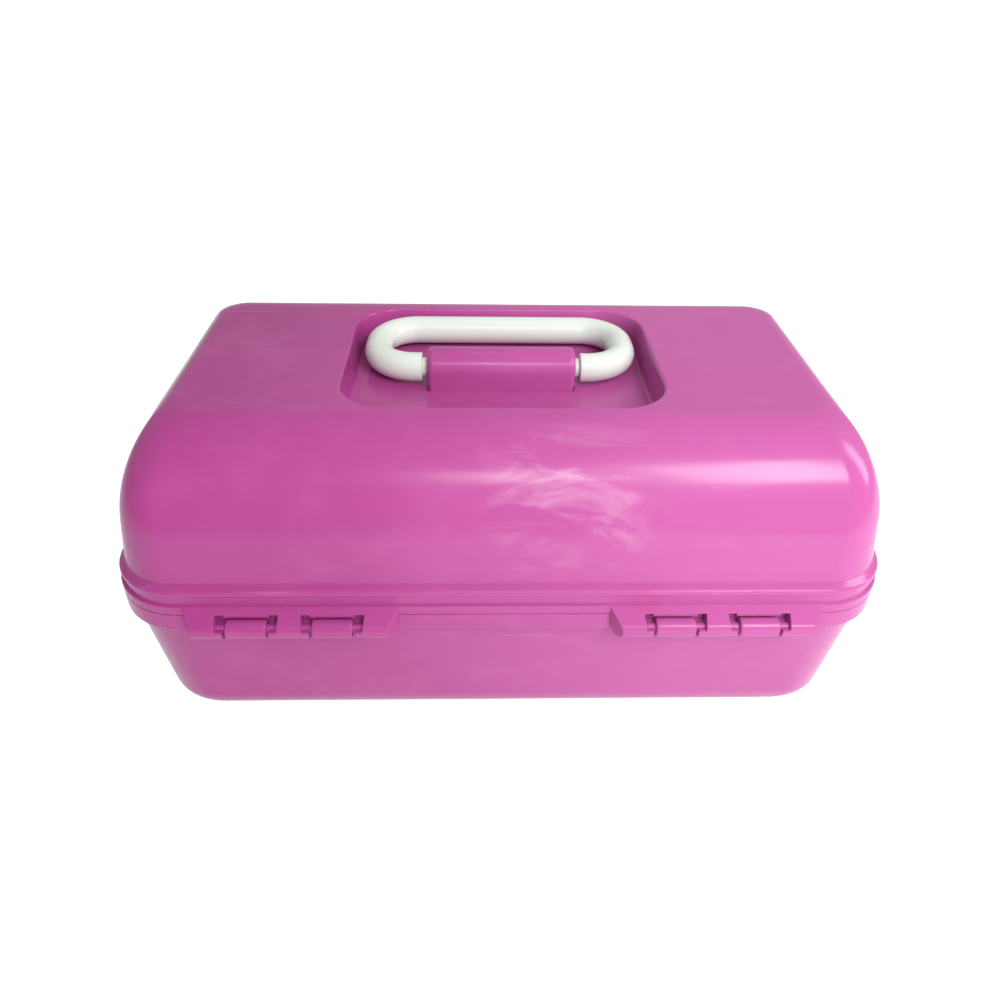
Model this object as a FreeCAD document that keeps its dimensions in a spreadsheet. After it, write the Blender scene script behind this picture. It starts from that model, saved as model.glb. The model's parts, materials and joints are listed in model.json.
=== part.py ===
import FreeCAD, Part
import math
import os
import re
import Sketcher

# Makeup storage case: a moulded base and a domed lid on a snap-in hinge, with a swinging carry
# handle on the lid, a mirror inside it, and a tray that rises with the lid on parallel arms.
# Millimetres. Origin at the bottom centre, +Z up, +Y towards the hinge side, X along the width.

SIZES = [
    # case outline
    ("case_width", 330.0, "across the rim, end to end"),
    ("case_depth", 205.5, "across the rim, front to back"),
    ("case_height", 152.0, "bottom to the flat top of the lid"),
    ("seam_height", 82.0, "where lid and base meet"),
    ("wall", 2.6, "moulded wall"),
    ("rim_corner", 31.0, "corner radius at the rim"),
    ("wall_inset", 1.8, "from the rim's edge in to the walls"),
    # lid shell
    ("lid_end_draft", 7.7, "lean of the lid's ends, degrees"),
    ("lid_side_draft", 12.0, "lean of the lid's front and back, degrees"),
    ("lid_end_run", 16.2, "shoulder curve at the ends, level reach"),
    ("lid_end_rise", 34.9, "shoulder curve at the ends, upright reach"),
    ("lid_side_run", 32.6, "shoulder curve at front and back, level reach"),
    ("lid_side_rise", 39.8, "shoulder curve at front and back, upright reach"),
    ("top_corner", 14.0, "corner radius of the flat top"),
    # rim
    ("lip_height", 4.5, "proud lip at the lid's lower edge"),
    ("lip_round", 0.5, "rounding of the lip's upper edge"),
    ("seam_round", 0.35, "rounding of both edges at the seam"),
    ("band_height", 4.5, "upright band above the lip"),
    ("band_inset", 1.3, "band's step in from the lip"),
    ("bead_height", 3.0, "bead above the band"),
    ("bead_inset", 0.7, "bead's step in from the lip"),
    ("bead_round", 1.4, "rounding of the bead's upper edge"),
    ("bead_foot", 0.4, "rounding of the bead's lower edge"),
    ("flange_height", 8.6, "base flange below the seam"),
    ("flange_round", 0.9, "rounding of the flange's lower edge"),
    ("tongue_height", 3.2, "tongue on the base, inside the lid's rim"),
    ("tongue_wall", 1.3, "thickness of the tongue"),
    ("tongue_step", 0.3, "tongue's step out from the base's inner edge"),
    ("tongue_gap", 0.45, "clearance round and above the tongue"),
    # base shell
    ("base_end_draft", 5.3, "lean of the base's ends, degrees"),
    ("base_side_draft", 10.3, "lean of the base's front and back, degrees"),
    ("base_end_run", 17.5, "bottom curve at the ends, level reach"),
    ("base_end_rise", 17.5, "bottom curve at the ends, upright reach"),
    ("base_side_run", 20.8, "bottom curve at front and back, level reach"),
    ("base_side_rise", 20.9, "bottom curve at front and back, upright reach"),
    ("bottom_corner", 24.0, "corner radius of the bottom"),
    ("foot_step", 1.0, "depth of the hollow inside the standing ring"),
    ("foot_ring", 12.0, "width of the standing ring"),
    # handle recess and block
    ("recess_length", 142.0, "recess in the lid, along X"),
    ("recess_width", 104.0, "recess in the lid, along Y"),
    ("recess_depth", 15.5, "recess floor below the flat top"),
    ("recess_corner", 22.0, "corner radius of the recess"),
    ("recess_draft", 4.0, "lean of the recess walls, degrees"),
    ("recess_lip", 1.2, "rounding of the recess edge"),
    ("recess_foot", 2.0, "rounding between the recess walls and floor"),
    ("block_length", 69.0, "handle block, along X"),
    ("block_radius", 9.5, "half-round top of the handle block"),
    ("block_proud", 2.0, "block top above the flat top"),
    ("block_round", 2.5, "rounding of the block's ends"),
    # handle
    ("grip_diameter", 13.5, "round section of the handle"),
    ("handle_width", 132.0, "outside width of the handle"),
    ("handle_reach", 43.0, "pivot axis to the middle of the grip"),
    ("handle_bend", 18.5, "bend radius of the handle's corners"),
    ("leg_gap", 2.5, "block's end to the leg's end"),
    ("shoulder_diameter", 9.0, "shoulder between leg and block"),
    ("trunnion_diameter", 6.0, "handle pivot pin"),
    ("trunnion_length", 10.0, "pivot pin's depth in the block"),
    ("leg_round", 1.8, "rounding of the leg's end"),
    ("leg_overlap", 0.5, "shoulder's start inside the leg"),
    ("pivot_clearance", 0.08, "radial clearance of turning fits"),
    # case hinge
    ("hinge_standoff", 4.6, "hinge axis out from the rim"),
    ("hinge_drop", 3.0, "hinge axis below the seam"),
    ("hinge_radius", 4.0, "hinge barrel"),
    ("hinge_pin_radius", 2.0, "trunnion on a knuckle"),
    ("hinge_pin_length", 6.5, "trunnion's reach from the knuckle"),
    ("bar_inner", 43.7, "hinge bar's inner end at the lip"),
    ("bar_outer", 132.0, "hinge bar's outer end at the lip"),
    ("bar_slant", 5.2, "slant of a bar's end over its depth"),
    ("knuckle_near", 70.5, "inner knuckle's middle"),
    ("knuckle_far", 105.4, "outer knuckle's middle"),
    ("knuckle_width", 16.6, "width of a knuckle"),
    ("knuckle_round", 0.9, "rounding of a knuckle's ends"),
    ("knuckle_root", 0.5, "knuckle's start inside the flange"),
    ("knuckle_chin", 0.2, "knuckle's web above the barrel's foot"),
    ("web_step", 1.2, "sides of a knuckle's web in from the barrel's ends"),
    ("bar_shelf", 0.5, "underside of a hinge bar above the seam"),
    ("window_gap", 1.0, "knuckle's side to the window's side"),
    ("window_clearance", 0.6, "window's clearance round the barrel"),
    ("window_roof", 2.8, "roof over a window, out from the rim"),
    ("notch_width", 3.7, "snap-in notch beside a window"),
    ("notch_foot", 3.0, "notch width at its lower end"),
    ("notch_top", 2.6, "notch's upper end above the seam"),
    ("notch_drop", 2.0, "notch's lower end below the seam"),
    # latch
    ("latch_width", 70.0, "latch plate"),
    ("latch_rise", 7.0, "latch axis above the seam"),
    ("latch_radius", 3.5, "latch barrel"),
    ("latch_pin_radius", 1.8, "latch trunnion"),
    ("latch_pin_length", 4.0, "latch trunnion's reach"),
    ("latch_neck", 3.9, "thickness of the latch at its axis"),
    ("latch_plate", 2.6, "height of the latch's hook"),
    ("latch_standoff", 1.4, "latch's inner face out from the rim"),
    ("latch_bevel", 0.8, "slant along the latch's lower edge"),
    ("latch_round", 1.0, "rounding of the latch's outer edges"),
    ("latch_hook", 2.1, "hook's reach under the flange"),
    ("latch_gap", 0.4, "hook below the flange"),
    ("latch_release", 12.0, "latch stands this far open at rest, degrees"),
    ("ear_width", 5.0, "ear that carries the latch"),
    ("ear_gap", 0.5, "ear to latch plate"),
    ("ear_step", 0.3, "ear's lower corner out from the rim"),
    # mirror
    ("mirror_length", 232.0, "mirror glass, along X"),
    ("mirror_width", 122.0, "mirror glass, along Y"),
    ("mirror_glass", 2.0, "mirror thickness"),
    ("mirror_corner", 12.0, "corner radius of the mirror"),
    ("frame_margin", 14.0, "mirror frame beyond the glass at the ends"),
    ("frame_edge", 6.0, "mirror frame beyond the glass at front and back"),
    ("frame_lip", 1.4, "frame in front of the glass edge"),
    ("frame_plate", 5.0, "thickness of the mirror frame"),
    ("frame_round", 1.0, "rounding of the mirror frame's edge"),
    ("glass_gap", 0.3, "clearance round the glass"),
    ("screw_along", 123.5, "mirror screws, along X"),
    ("screw_across", 44.0, "mirror screws, along Y"),
    ("screw_radius", 1.5, "screw shank"),
    ("screw_head_radius", 3.0, "screw head"),
    ("screw_head", 1.8, "height of the screw head"),
    ("screw_bite", 8.0, "screw's depth in its boss"),
    ("boss_radius", 4.5, "screw and pivot bosses"),
    # tray and arms
    ("tray_length", 286.0, "tray, along X"),
    ("tray_front", -88.0, "front edge of the tray"),
    ("tray_back", 20.0, "back edge of the tray"),
    ("tray_bottom", 51.5, "underside of the tray"),
    ("tray_top", 84.0, "top edge of the tray"),
    ("tray_corner", 14.0, "corner radius of the tray"),
    ("tray_wall", 2.2, "tray wall"),
    ("tray_draft", 1.5, "lean of the tray walls, degrees"),
    ("cell_flare", 0.4, "share of the tray's lean that its inner walls have"),
    ("tray_split", -46.0, "wall between the two rows of compartments"),
    ("cell_corner", 5.0, "corner radius of a compartment"),
    ("front_pivot_y", -20.0, "front arm's pivot in the base, along Y"),
    ("front_pivot_z", 56.0, "front arm's pivot in the base, height"),
    ("rear_pivot_y", 15.0, "rear arm's pivot in the base, along Y"),
    ("rear_pivot_z", 68.0, "rear arm's pivot in the base, height"),
    ("arm_length", 60.0, "pivot to pivot along an arm"),
    ("arm_half", 5.0, "half the width of an arm"),
    ("arm_plate", 3.0, "thickness of an arm"),
    ("crank_back", 36.0, "link joint ahead of its pivot"),
    ("crank_rise", 12.0, "link joint above its pivot"),
    ("link_half", 4.0, "half the width of a link"),
    ("link_plate", 2.5, "thickness of a link"),
    ("rivet_radius", 2.0, "rivet shank"),
    ("rivet_head_radius", 3.6, "rivet head"),
    ("rivet_head", 1.5, "height of a rivet head"),
    ("head_taper", 0.7, "a rivet head's top as a share of its foot"),
    ("side_gap", 0.35, "sideways clearance between arms, links and heads"),
    ("rivet_depth", 5.5, "rivet's depth in its boss"),
]

FRONT_CELLS = 4
REAR_CELLS = 3
SECTION_STEPS = 4
PAST = 1.0
SLIVER = 0.02

NAMES = {alias for alias, number, meaning in SIZES}

doc = FreeCAD.newDocument("MakeupCase")


def make_sheet():
    sheet = doc.addObject("Spreadsheet::Sheet", "Sizes")
    for row, (alias, number, meaning) in enumerate(SIZES, start=1):
        sheet.set("A%d" % row, alias)
        sheet.set("B%d" % row, str(number))
        sheet.set("C%d" % row, meaning)
        sheet.setAlias("B%d" % row, alias)
    doc.recompute()
    return sheet


sheet = make_sheet()


# Formulas: text in which each size stands by its name.

def formula(text):
    """The text with each size's name pointing into the sheet."""
    return re.sub(r"[a-z_]+", lambda found: "Sizes." + found[0] if found[0] in NAMES else found[0],
                  str(text))


def value(text):
    """What a formula comes to now, in millimetres or degrees."""
    number = sheet.evalExpression(formula(text))
    return float(getattr(number, "Value", number))


def bind(thing, prop, text):
    thing.setExpression(prop, formula(text))


# Places that several pieces share.

HINGE_Y = "(case_depth / 2 + hinge_standoff)"
HINGE_Z = "(seam_height - hinge_drop)"
PIVOT_Z = "(case_height + block_proud - block_radius)"
FLOOR_Z = "(case_height - recess_depth)"
PAN_Z = "(case_height - recess_depth - wall)"
LIP_TOP = "(seam_height + lip_height)"
BAND_TOP = "(seam_height + lip_height + band_height)"
BEAD_TOP = "(seam_height + lip_height + band_height + bead_height)"
LATCH_Y = "(-case_depth / 2 - hinge_standoff - hinge_radius + latch_radius)"
LATCH_Z = "(seam_height + latch_rise)"
ARM_IN = "(tray_length / 2 + rivet_head + 2 * side_gap)"
ARM_OUT = "(%s + arm_plate)" % ARM_IN
LINK_IN = "(%s + rivet_head + 2 * side_gap)" % ARM_OUT
LINK_OUT = "(%s + link_plate)" % LINK_IN
FRONT_BASE = ("front_pivot_y", "front_pivot_z")
REAR_BASE = ("rear_pivot_y", "rear_pivot_z")
FRONT_TRAY = ("(front_pivot_y - arm_length)", "front_pivot_z")
REAR_TRAY = ("(rear_pivot_y - arm_length)", "rear_pivot_z")
CRANK = ("(rear_pivot_y - crank_back)", "(rear_pivot_z + crank_rise)")
LID_LINK = ("(%s - crank_back)" % HINGE_Y, "(%s + crank_rise)" % HINGE_Z)
SIDES = (("left", -1), ("right", 1))


# Sketches.

def new_body(label):
    body = doc.addObject("PartDesign::Body", label)
    body.Label = label
    return body


def new_sketch(body, name, plane, offset="0"):
    """A sketch on one of the body's own planes: XY looks up, XZ looks along -Y, YZ along +X."""
    sketch = body.newObject("Sketcher::SketchObject", "%s_%s_outline" % (body.Name, name))
    support = next(item for item in body.Origin.OriginFeatures if item.Role == plane + "_Plane")
    sketch.AttachmentSupport = [(support, "")]
    sketch.MapMode = "FlatFace"
    bind(sketch, "AttachmentOffset.Base.z", offset)
    return sketch


def constrain(sketch, kind, *places, size):
    """Add a constraint whose size follows a formula."""
    index = sketch.addConstraint(Sketcher.Constraint(kind, *places, value(size)))
    bind(sketch, "Constraints[%d]" % index, size)


def pin_point(sketch, geometry, position, x, y):
    """Tie a point to formulas for its two coordinates."""
    constrain(sketch, "DistanceX", -1, 1, geometry, position, size=x)
    constrain(sketch, "DistanceY", -1, 1, geometry, position, size=y)


def draw_polygon(sketch, points):
    spots = [FreeCAD.Vector(value(x), value(y), 0) for x, y in points]
    first = sketch.GeometryCount
    for number, spot in enumerate(spots):
        sketch.addGeometry(Part.LineSegment(spot, spots[(number + 1) % len(spots)]), False)
    for number in range(len(spots)):
        following = first + (number + 1) % len(spots)
        sketch.addConstraint(Sketcher.Constraint("Coincident", first + number, 2, following, 1))
    for number, (x, y) in enumerate(points):
        pin_point(sketch, first + number, 1, x, y)


def draw_circle(sketch, x, y, radius):
    centre = FreeCAD.Vector(value(x), value(y), 0)
    index = sketch.addGeometry(Part.Circle(centre, FreeCAD.Vector(0, 0, 1), value(radius)), False)
    pin_point(sketch, index, 3, x, y)
    constrain(sketch, "Radius", index, size=radius)


def draw_rounded(sketch, left, right, low, high, corner):
    """A rectangle with equal rounded corners, its four sides tied to formulas."""
    x0, x1, y0, y1, r = [value(text) for text in (left, right, low, high, corner)]
    first = sketch.GeometryCount
    lines = [((x0 + r, y0), (x1 - r, y0)), ((x1, y0 + r), (x1, y1 - r)),
             ((x1 - r, y1), (x0 + r, y1)), ((x0, y1 - r), (x0, y0 + r))]
    centres = [(x1 - r, y0 + r), (x1 - r, y1 - r), (x0 + r, y1 - r), (x0 + r, y0 + r)]
    up = FreeCAD.Vector(0, 0, 1)
    for number, (start, end) in enumerate(lines):
        sketch.addGeometry(Part.LineSegment(FreeCAD.Vector(*start, 0), FreeCAD.Vector(*end, 0)), False)
        circle = Part.Circle(FreeCAD.Vector(*centres[number], 0), up, r)
        turn = math.pi / 2 * (number - 1)
        sketch.addGeometry(Part.ArcOfCircle(circle, turn, turn + math.pi / 2), False)
    for number in range(8):
        following = first + (number + 1) % 8
        sketch.addConstraint(Sketcher.Constraint("Tangent", first + number, 2, following, 1))
    for number in (0, 4):
        sketch.addConstraint(Sketcher.Constraint("Horizontal", first + number))
    for number in (2, 6):
        sketch.addConstraint(Sketcher.Constraint("Vertical", first + number))
    for number in (3, 5, 7):
        sketch.addConstraint(Sketcher.Constraint("Equal", first + 1, first + number))
    constrain(sketch, "Radius", first + 1, size=corner)
    constrain(sketch, "DistanceY", -1, 1, first, 1, size=low)
    constrain(sketch, "DistanceX", -1, 1, first + 2, 1, size=right)
    constrain(sketch, "DistanceY", -1, 1, first + 4, 1, size=high)
    constrain(sketch, "DistanceX", -1, 1, first + 6, 1, size=left)


def draw_centred(sketch, half_x, half_y, corner):
    draw_rounded(sketch, "-(%s)" % half_x, half_x, "-(%s)" % half_y, half_y, corner)


def draw_slot(sketch, start, end, radius):
    """A round-ended bar between two pivots."""
    a = FreeCAD.Vector(value(start[0]), value(start[1]), 0)
    b = FreeCAD.Vector(value(end[0]), value(end[1]), 0)
    r = value(radius)
    up = FreeCAD.Vector(0, 0, 1)
    along = math.atan2(b.y - a.y, b.x - a.x)
    side = FreeCAD.Vector(-math.sin(along), math.cos(along), 0) * r
    first = sketch.GeometryCount
    sketch.addGeometry(Part.LineSegment(a - side, b - side), False)
    sketch.addGeometry(Part.ArcOfCircle(Part.Circle(b, up, r), along - math.pi / 2,
                                        along + math.pi / 2), False)
    sketch.addGeometry(Part.LineSegment(b + side, a + side), False)
    sketch.addGeometry(Part.ArcOfCircle(Part.Circle(a, up, r), along + math.pi / 2,
                                        along + 1.5 * math.pi), False)
    for number in range(4):
        following = first + (number + 1) % 4
        sketch.addConstraint(Sketcher.Constraint("Tangent", first + number, 2, following, 1))
    sketch.addConstraint(Sketcher.Constraint("Equal", first + 1, first + 3))
    constrain(sketch, "Radius", first + 1, size=radius)
    pin_point(sketch, first + 1, 3, *end)
    pin_point(sketch, first + 3, 3, *start)


# Features.

def add_pad(body, name, sketch, length, backwards=False):
    pad = body.newObject("PartDesign::Pad", body.Name + "_" + name)
    pad.Profile = sketch
    pad.Reversed = backwards
    pad.Refine = False
    bind(pad, "Length", length)
    doc.recompute()
    return pad


def add_pocket(body, name, sketch, length, forwards=True):
    """Cut along the sketch's own direction, or against it, and make sure that it cuts."""
    before = body.Shape.Volume
    pocket = body.newObject("PartDesign::Pocket", body.Name + "_" + name)
    pocket.Profile = sketch
    pocket.Reversed = forwards
    pocket.Refine = False
    bind(pocket, "Length", length)
    doc.recompute()
    if body.Shape.Volume > before - 0.01:
        raise RuntimeError(pocket.Name + " cuts nothing")
    return pocket


def add_loft(body, name, sections, cut=False):
    """A skin through the sections: flat-sided between two, smoothly curved through more."""
    kind = "PartDesign::SubtractiveLoft" if cut else "PartDesign::AdditiveLoft"
    loft = body.newObject(kind, body.Name + "_" + name)
    loft.Profile = sections[0]
    loft.Sections = sections[1:]
    loft.Ruled = len(sections) == 2
    loft.Refine = False
    doc.recompute()
    return loft


def add_fillet(body, name, radius, chosen):
    """Round the edges that the test picks."""
    base = body.Tip
    edges = ["Edge%d" % number for number, edge in enumerate(base.Shape.Edges, 1) if chosen(edge)]
    fillet = body.newObject("PartDesign::Fillet", body.Name + "_" + name)
    fillet.Base = (base, edges)
    fillet.Refine = False
    bind(fillet, "Radius", radius)
    doc.recompute()
    return fillet


def level_edges(height, reach=None):
    """Edges that lie level at a height, within a distance of the middle where one is given."""
    level = value(height)

    def chosen(edge):
        box = edge.BoundBox
        flat = abs(box.ZMin - level) < 0.01 and abs(box.ZMax - level) < 0.01
        inside = reach is None or max(abs(box.XMin), abs(box.XMax)) < value(reach)
        return flat and inside
    return chosen


def outline_edges(height, inset):
    """Level edges that run along the rim's outline, a given step in from it."""
    level = level_edges(height)
    reach_x = value("case_width / 2 - %s" % inset)
    reach_y = value("case_depth / 2 - %s" % inset)

    def chosen(edge):
        box = edge.BoundBox
        far_x = max(abs(box.XMin), abs(box.XMax))
        far_y = max(abs(box.YMin), abs(box.YMax))
        return level(edge) and (abs(far_x - reach_x) < 0.01 or abs(far_y - reach_y) < 0.01)
    return chosen


# Shell outlines: half-widths at a height, for the outer skin or inward of it by a wall.

def shoulder(height, start, rise):
    """How far along its curve a shoulder is at a height, from 0 to 1."""
    return "max(0; min(1; (%s - %s) / %s))" % (height, start, rise)


def lid_half(size, draft, run, rise, height, inward):
    """Half the lid's size at a height: a leaning wall that rolls over into the flat top."""
    top = "(case_height - %s)" % inward
    bend = shoulder("(%s)" % height, "(%s - %s)" % (top, rise), rise)
    return ("(%s / 2 - wall_inset - %s - tan(%s) * (%s - seam_height) - %s * (1 - sqrt(1 - pow(%s; 2))))"
            % (size, inward, draft, height, run, bend))


def base_half(size, draft, run, rise, height, inward):
    """Half the base's size at a height: a leaning wall that rolls under into the flat bottom."""
    bend = "max(0; min(1; (%s + %s - %s) / %s))" % (rise, inward, height, rise)
    return ("(%s / 2 - wall_inset - %s - tan(%s) * (seam_height - %s) - %s * (1 - sqrt(1 - pow(%s; 2))))"
            % (size, inward, draft, height, run, bend))


def lid_section(body, name, height, inward):
    sketch = new_sketch(body, name, "XY", height)
    half_x = lid_half("case_width", "lid_end_draft", "lid_end_run", "lid_end_rise", height, inward)
    half_y = lid_half("case_depth", "lid_side_draft", "lid_side_run", "lid_side_rise", height, inward)
    share = "((%s - seam_height) / (case_height - seam_height))" % height
    corner = "(rim_corner - wall_inset - %s + (top_corner - rim_corner) * %s)" % (inward, share)
    draw_centred(sketch, half_x, half_y, corner)
    return sketch


def base_section(body, name, height, inward):
    sketch = new_sketch(body, name, "XY", height)
    half_x = base_half("case_width", "base_end_draft", "base_end_run", "base_end_rise", height, inward)
    half_y = base_half("case_depth", "base_side_draft", "base_side_run", "base_side_rise", height, inward)
    share = "((seam_height - %s) / seam_height)" % height
    corner = "(rim_corner - wall_inset - %s + (bottom_corner - rim_corner) * %s)" % (inward, share)
    draw_centred(sketch, half_x, half_y, corner)
    return sketch


def curve_steps():
    """Shares of a quarter turn, finer towards its end."""
    return [math.sin(math.pi / 2 * step / SECTION_STEPS) for step in range(SECTION_STEPS + 1)]


def lid_loft(body, name, inward, cut):
    """The lid's leaning walls, then its shoulders up to the flat top."""
    top = "(case_height - %s)" % inward
    start = "(%s - lid_side_rise)" % top
    rim = lid_section(body, name + "_rim", "seam_height", inward)
    wall = lid_section(body, name + "_wall", start, inward)
    add_loft(body, name + "_walls", [rim, wall], cut)
    curve = []
    for number, share in enumerate(curve_steps()):
        height = "(%s - lid_side_rise * %.6f)" % (top, 1 - share)
        curve.append(lid_section(body, "%s_shoulder%d" % (name, number), height, inward))
    add_loft(body, name + "_shoulders", curve, cut)


def base_loft(body, name, inward, cut):
    """The base's leaning walls, then its curve under to the flat bottom."""
    start = "(%s + base_side_rise)" % inward
    rim = base_section(body, name + "_rim", "seam_height", inward)
    wall = base_section(body, name + "_wall", start, inward)
    add_loft(body, name + "_walls", [rim, wall], cut)
    curve = []
    for number, share in enumerate(curve_steps()):
        height = "(%s + base_side_rise * %.6f)" % (inward, 1 - share)
        curve.append(base_section(body, "%s_curve%d" % (name, number), height, inward))
    add_loft(body, name + "_curves", curve, cut)


def rim_sketch(body, name, height, inset):
    sketch = new_sketch(body, name, "XY", height)
    draw_centred(sketch, "(case_width / 2 - %s)" % inset, "(case_depth / 2 - %s)" % inset,
                 "(rim_corner - %s)" % inset)
    return sketch


def slab(body, name, x0, x1, points, cut=False):
    """A level prism along X between two places, with its outline in Y and Z."""
    sketch = new_sketch(body, name, "YZ", x0)
    draw_polygon(sketch, points)
    length = "(%s - %s)" % (x1, x0)
    return add_pocket(body, name, sketch, length) if cut else add_pad(body, name, sketch, length)


def rod(body, name, x0, x1, y, z, radius, cut=False):
    """A round bar along X between two places, or its bore."""
    sketch = new_sketch(body, name, "YZ", x0)
    draw_circle(sketch, y, z, radius)
    length = "(%s - %s)" % (x1, x0)
    return add_pocket(body, name, sketch, length) if cut else add_pad(body, name, sketch, length)


def spans(sign, near, far):
    """A stretch from near to far off the middle, on the side that the sign says."""
    return (near, far) if sign > 0 else ("(-%s)" % far, "(-%s)" % near)


# The lid.

def add_hinge_bar(body, side, sign):
    """A bar along the lid's back rim, with two windows for the base's knuckles."""
    x0, x1 = spans(sign, "bar_inner", "bar_outer")
    reach = "sqrt(pow(hinge_standoff; 2) + pow(hinge_drop + lip_height; 2))"
    tangent = "(atan2(hinge_drop + lip_height; -hinge_standoff) - acos(hinge_radius / %s))" % reach
    touch_y = "(%s + hinge_radius * cos(%s))" % (HINGE_Y, tangent)
    touch_z = "(%s + hinge_radius * sin(%s))" % (HINGE_Z, tangent)
    heel = "(%s - hinge_radius)" % HINGE_Y
    root = "(case_depth / 2 - band_inset)"
    shelf = "(seam_height + bar_shelf)"
    slab(body, "bar_" + side, x0, x1, [
        (root, LIP_TOP), ("(case_depth / 2)", LIP_TOP), (touch_y, touch_z),
        (HINGE_Y, HINGE_Z), (heel, HINGE_Z), (heel, shelf), (root, shelf)])
    rod(body, "barrel_" + side, x0, x1, HINGE_Y, HINGE_Z, "hinge_radius")


def cut_hinge_bar(body, side, sign):
    """Slanted ends, windows, snap-in notches and trunnion bores of one hinge bar."""
    foot = "(%s - hinge_radius - %s)" % (HINGE_Z, PAST)
    far = "(%s + hinge_radius + %s)" % (HINGE_Y, PAST)
    behind = "(-%s)" % far
    depth = "(hinge_standoff + hinge_radius + %s - %s)" % (PAST, SLIVER)
    clear = "(case_depth / 2 + %s)" % SLIVER
    ends = new_sketch(body, "bar_ends_" + side, "XY", foot)
    for end, lean in (("bar_inner", "bar_slant"), ("bar_outer", "(-bar_slant)")):
        past = "(%d * (%s - %s))" % (sign, end, lean)
        draw_polygon(ends, [
            ("(%d * %s)" % (sign, end), clear), ("(%d * (%s + %s))" % (sign, end, lean), far),
            (past, far), (past, clear)])
    add_pocket(body, "bar_ends_" + side, ends, "(%s - %s)" % (LIP_TOP, foot))
    for place in ("knuckle_near", "knuckle_far"):
        half = "(knuckle_width / 2 + window_gap)"
        x0, x1 = spans(sign, "(%s - %s)" % (place, half), "(%s + %s)" % (place, half))
        tag = "%s_%s" % (side, place)
        roof = "(case_depth / 2 + window_roof)"
        slab(body, "window_" + tag, x0, x1, [
            (clear, "(seam_height - %s)" % SLIVER), (roof, "(seam_height - %s)" % SLIVER),
            (roof, LIP_TOP), (far, LIP_TOP), (far, foot), (clear, foot)], cut=True)
        rod(body, "relief_" + tag, x0, x1, HINGE_Y, HINGE_Z, "(hinge_radius + window_clearance)", cut=True)
        deep = "(hinge_pin_length + %s)" % PAST
        b0, b1 = spans(sign, "(%s - knuckle_width / 2 - %s)" % (place, deep),
                       "(%s + knuckle_width / 2 + %s)" % (place, deep))
        rod(body, "bore_" + tag, b0, b1, HINGE_Y, HINGE_Z, "(hinge_pin_radius + pivot_clearance)", cut=True)
        notch = new_sketch(body, "notch_" + tag, "XZ", behind)
        high = "(seam_height + notch_top)"
        low = "(seam_height - notch_drop)"
        for way in (-1, 1):
            edge = "(%d * %s + %d * (%s - %s))" % (sign, place, way, half, SLIVER)
            draw_polygon(notch, [
                (edge, high),
                ("(%s + %d * notch_width)" % (edge, way), high),
                ("(%s + %d * notch_foot)" % (edge, way), low),
                (edge, low)])
        add_pocket(body, "notch_" + tag, notch, depth, forwards=True)


def add_recess(body):
    """The pan under the flat top and the recess in it, where the handle lies."""
    pan = new_sketch(body, "pan", "XY", PAN_Z)
    draw_centred(pan, "(recess_length / 2 + wall)", "(recess_width / 2 + wall)", "(recess_corner + wall)")
    add_pad(body, "pan", pan, "(recess_depth + wall / 2)")
    floor = new_sketch(body, "recess_floor", "XY", FLOOR_Z)
    shrink = "(tan(recess_draft) * recess_depth)"
    draw_centred(floor, "(recess_length / 2 - %s)" % shrink, "(recess_width / 2 - %s)" % shrink,
                 "(recess_corner - %s)" % shrink)
    mouth = new_sketch(body, "recess_mouth", "XY", "case_height")
    draw_centred(mouth, "(recess_length / 2)", "(recess_width / 2)", "recess_corner")
    add_loft(body, "recess", [floor, mouth], cut=True)
    reach = "(recess_length / 2 + wall)"
    add_fillet(body, "recess_lip", "recess_lip", level_edges("case_height", reach))
    add_fillet(body, "recess_foot", "recess_foot", level_edges(FLOOR_Z, reach))


def add_handle_block(body):
    """The half-round block in the recess that carries the handle's pivots."""
    block = new_sketch(body, "block", "YZ", "(-block_length / 2)")
    draw_polygon(block, [
        ("-block_radius", "(%s - wall / 2)" % FLOOR_Z), ("block_radius", "(%s - wall / 2)" % FLOOR_Z),
        ("block_radius", PIVOT_Z), ("-block_radius", PIVOT_Z)])
    add_pad(body, "block", block, "block_length")
    rod(body, "block_top", "(-block_length / 2)", "(block_length / 2)", "0", PIVOT_Z, "block_radius")
    end = value("block_length / 2")
    floor = value(FLOOR_Z)

    def block_ends(edge):
        box = edge.BoundBox
        upright = abs(abs(box.XMin) - end) < 0.01 and abs(box.XMax - box.XMin) < 0.01
        return upright and box.ZMax > floor + 0.5 and max(abs(box.YMin), abs(box.YMax)) < end / 2
    add_fillet(body, "block_round", "block_round", block_ends)
    for side, sign in SIDES:
        x0, x1 = spans(sign, "(block_length / 2 - trunnion_length - %s)" % PAST,
                       "(block_length / 2 + %s)" % PAST)
        rod(body, "handle_bore_" + side, x0, x1, "0", PIVOT_Z,
            "(trunnion_diameter / 2 + pivot_clearance)", cut=True)


def add_latch_ears(body):
    """Two ears on the lid's front band that hold the latch's trunnions."""
    for side, sign in SIDES:
        near = "(latch_width / 2 + ear_gap)"
        x0, x1 = spans(sign, near, "(%s + ear_width)" % near)
        root = "(-case_depth / 2 + wall_inset)"
        slab(body, "ear_" + side, x0, x1, [
            (root, "(%s + latch_radius)" % LATCH_Z), (LATCH_Y, "(%s + latch_radius)" % LATCH_Z),
            (LATCH_Y, "(%s - latch_radius)" % LATCH_Z), ("(-case_depth / 2 - ear_step)", LIP_TOP),
            (root, LIP_TOP)])
        rod(body, "ear_round_" + side, x0, x1, LATCH_Y, LATCH_Z, "latch_radius")
        b0, b1 = spans(sign, "(%s - %s)" % (near, PAST), "(latch_width / 2 + latch_pin_length + ear_gap)")
        rod(body, "ear_bore_" + side, b0, b1, LATCH_Y, LATCH_Z,
            "(latch_pin_radius + pivot_clearance)", cut=True)


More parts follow.
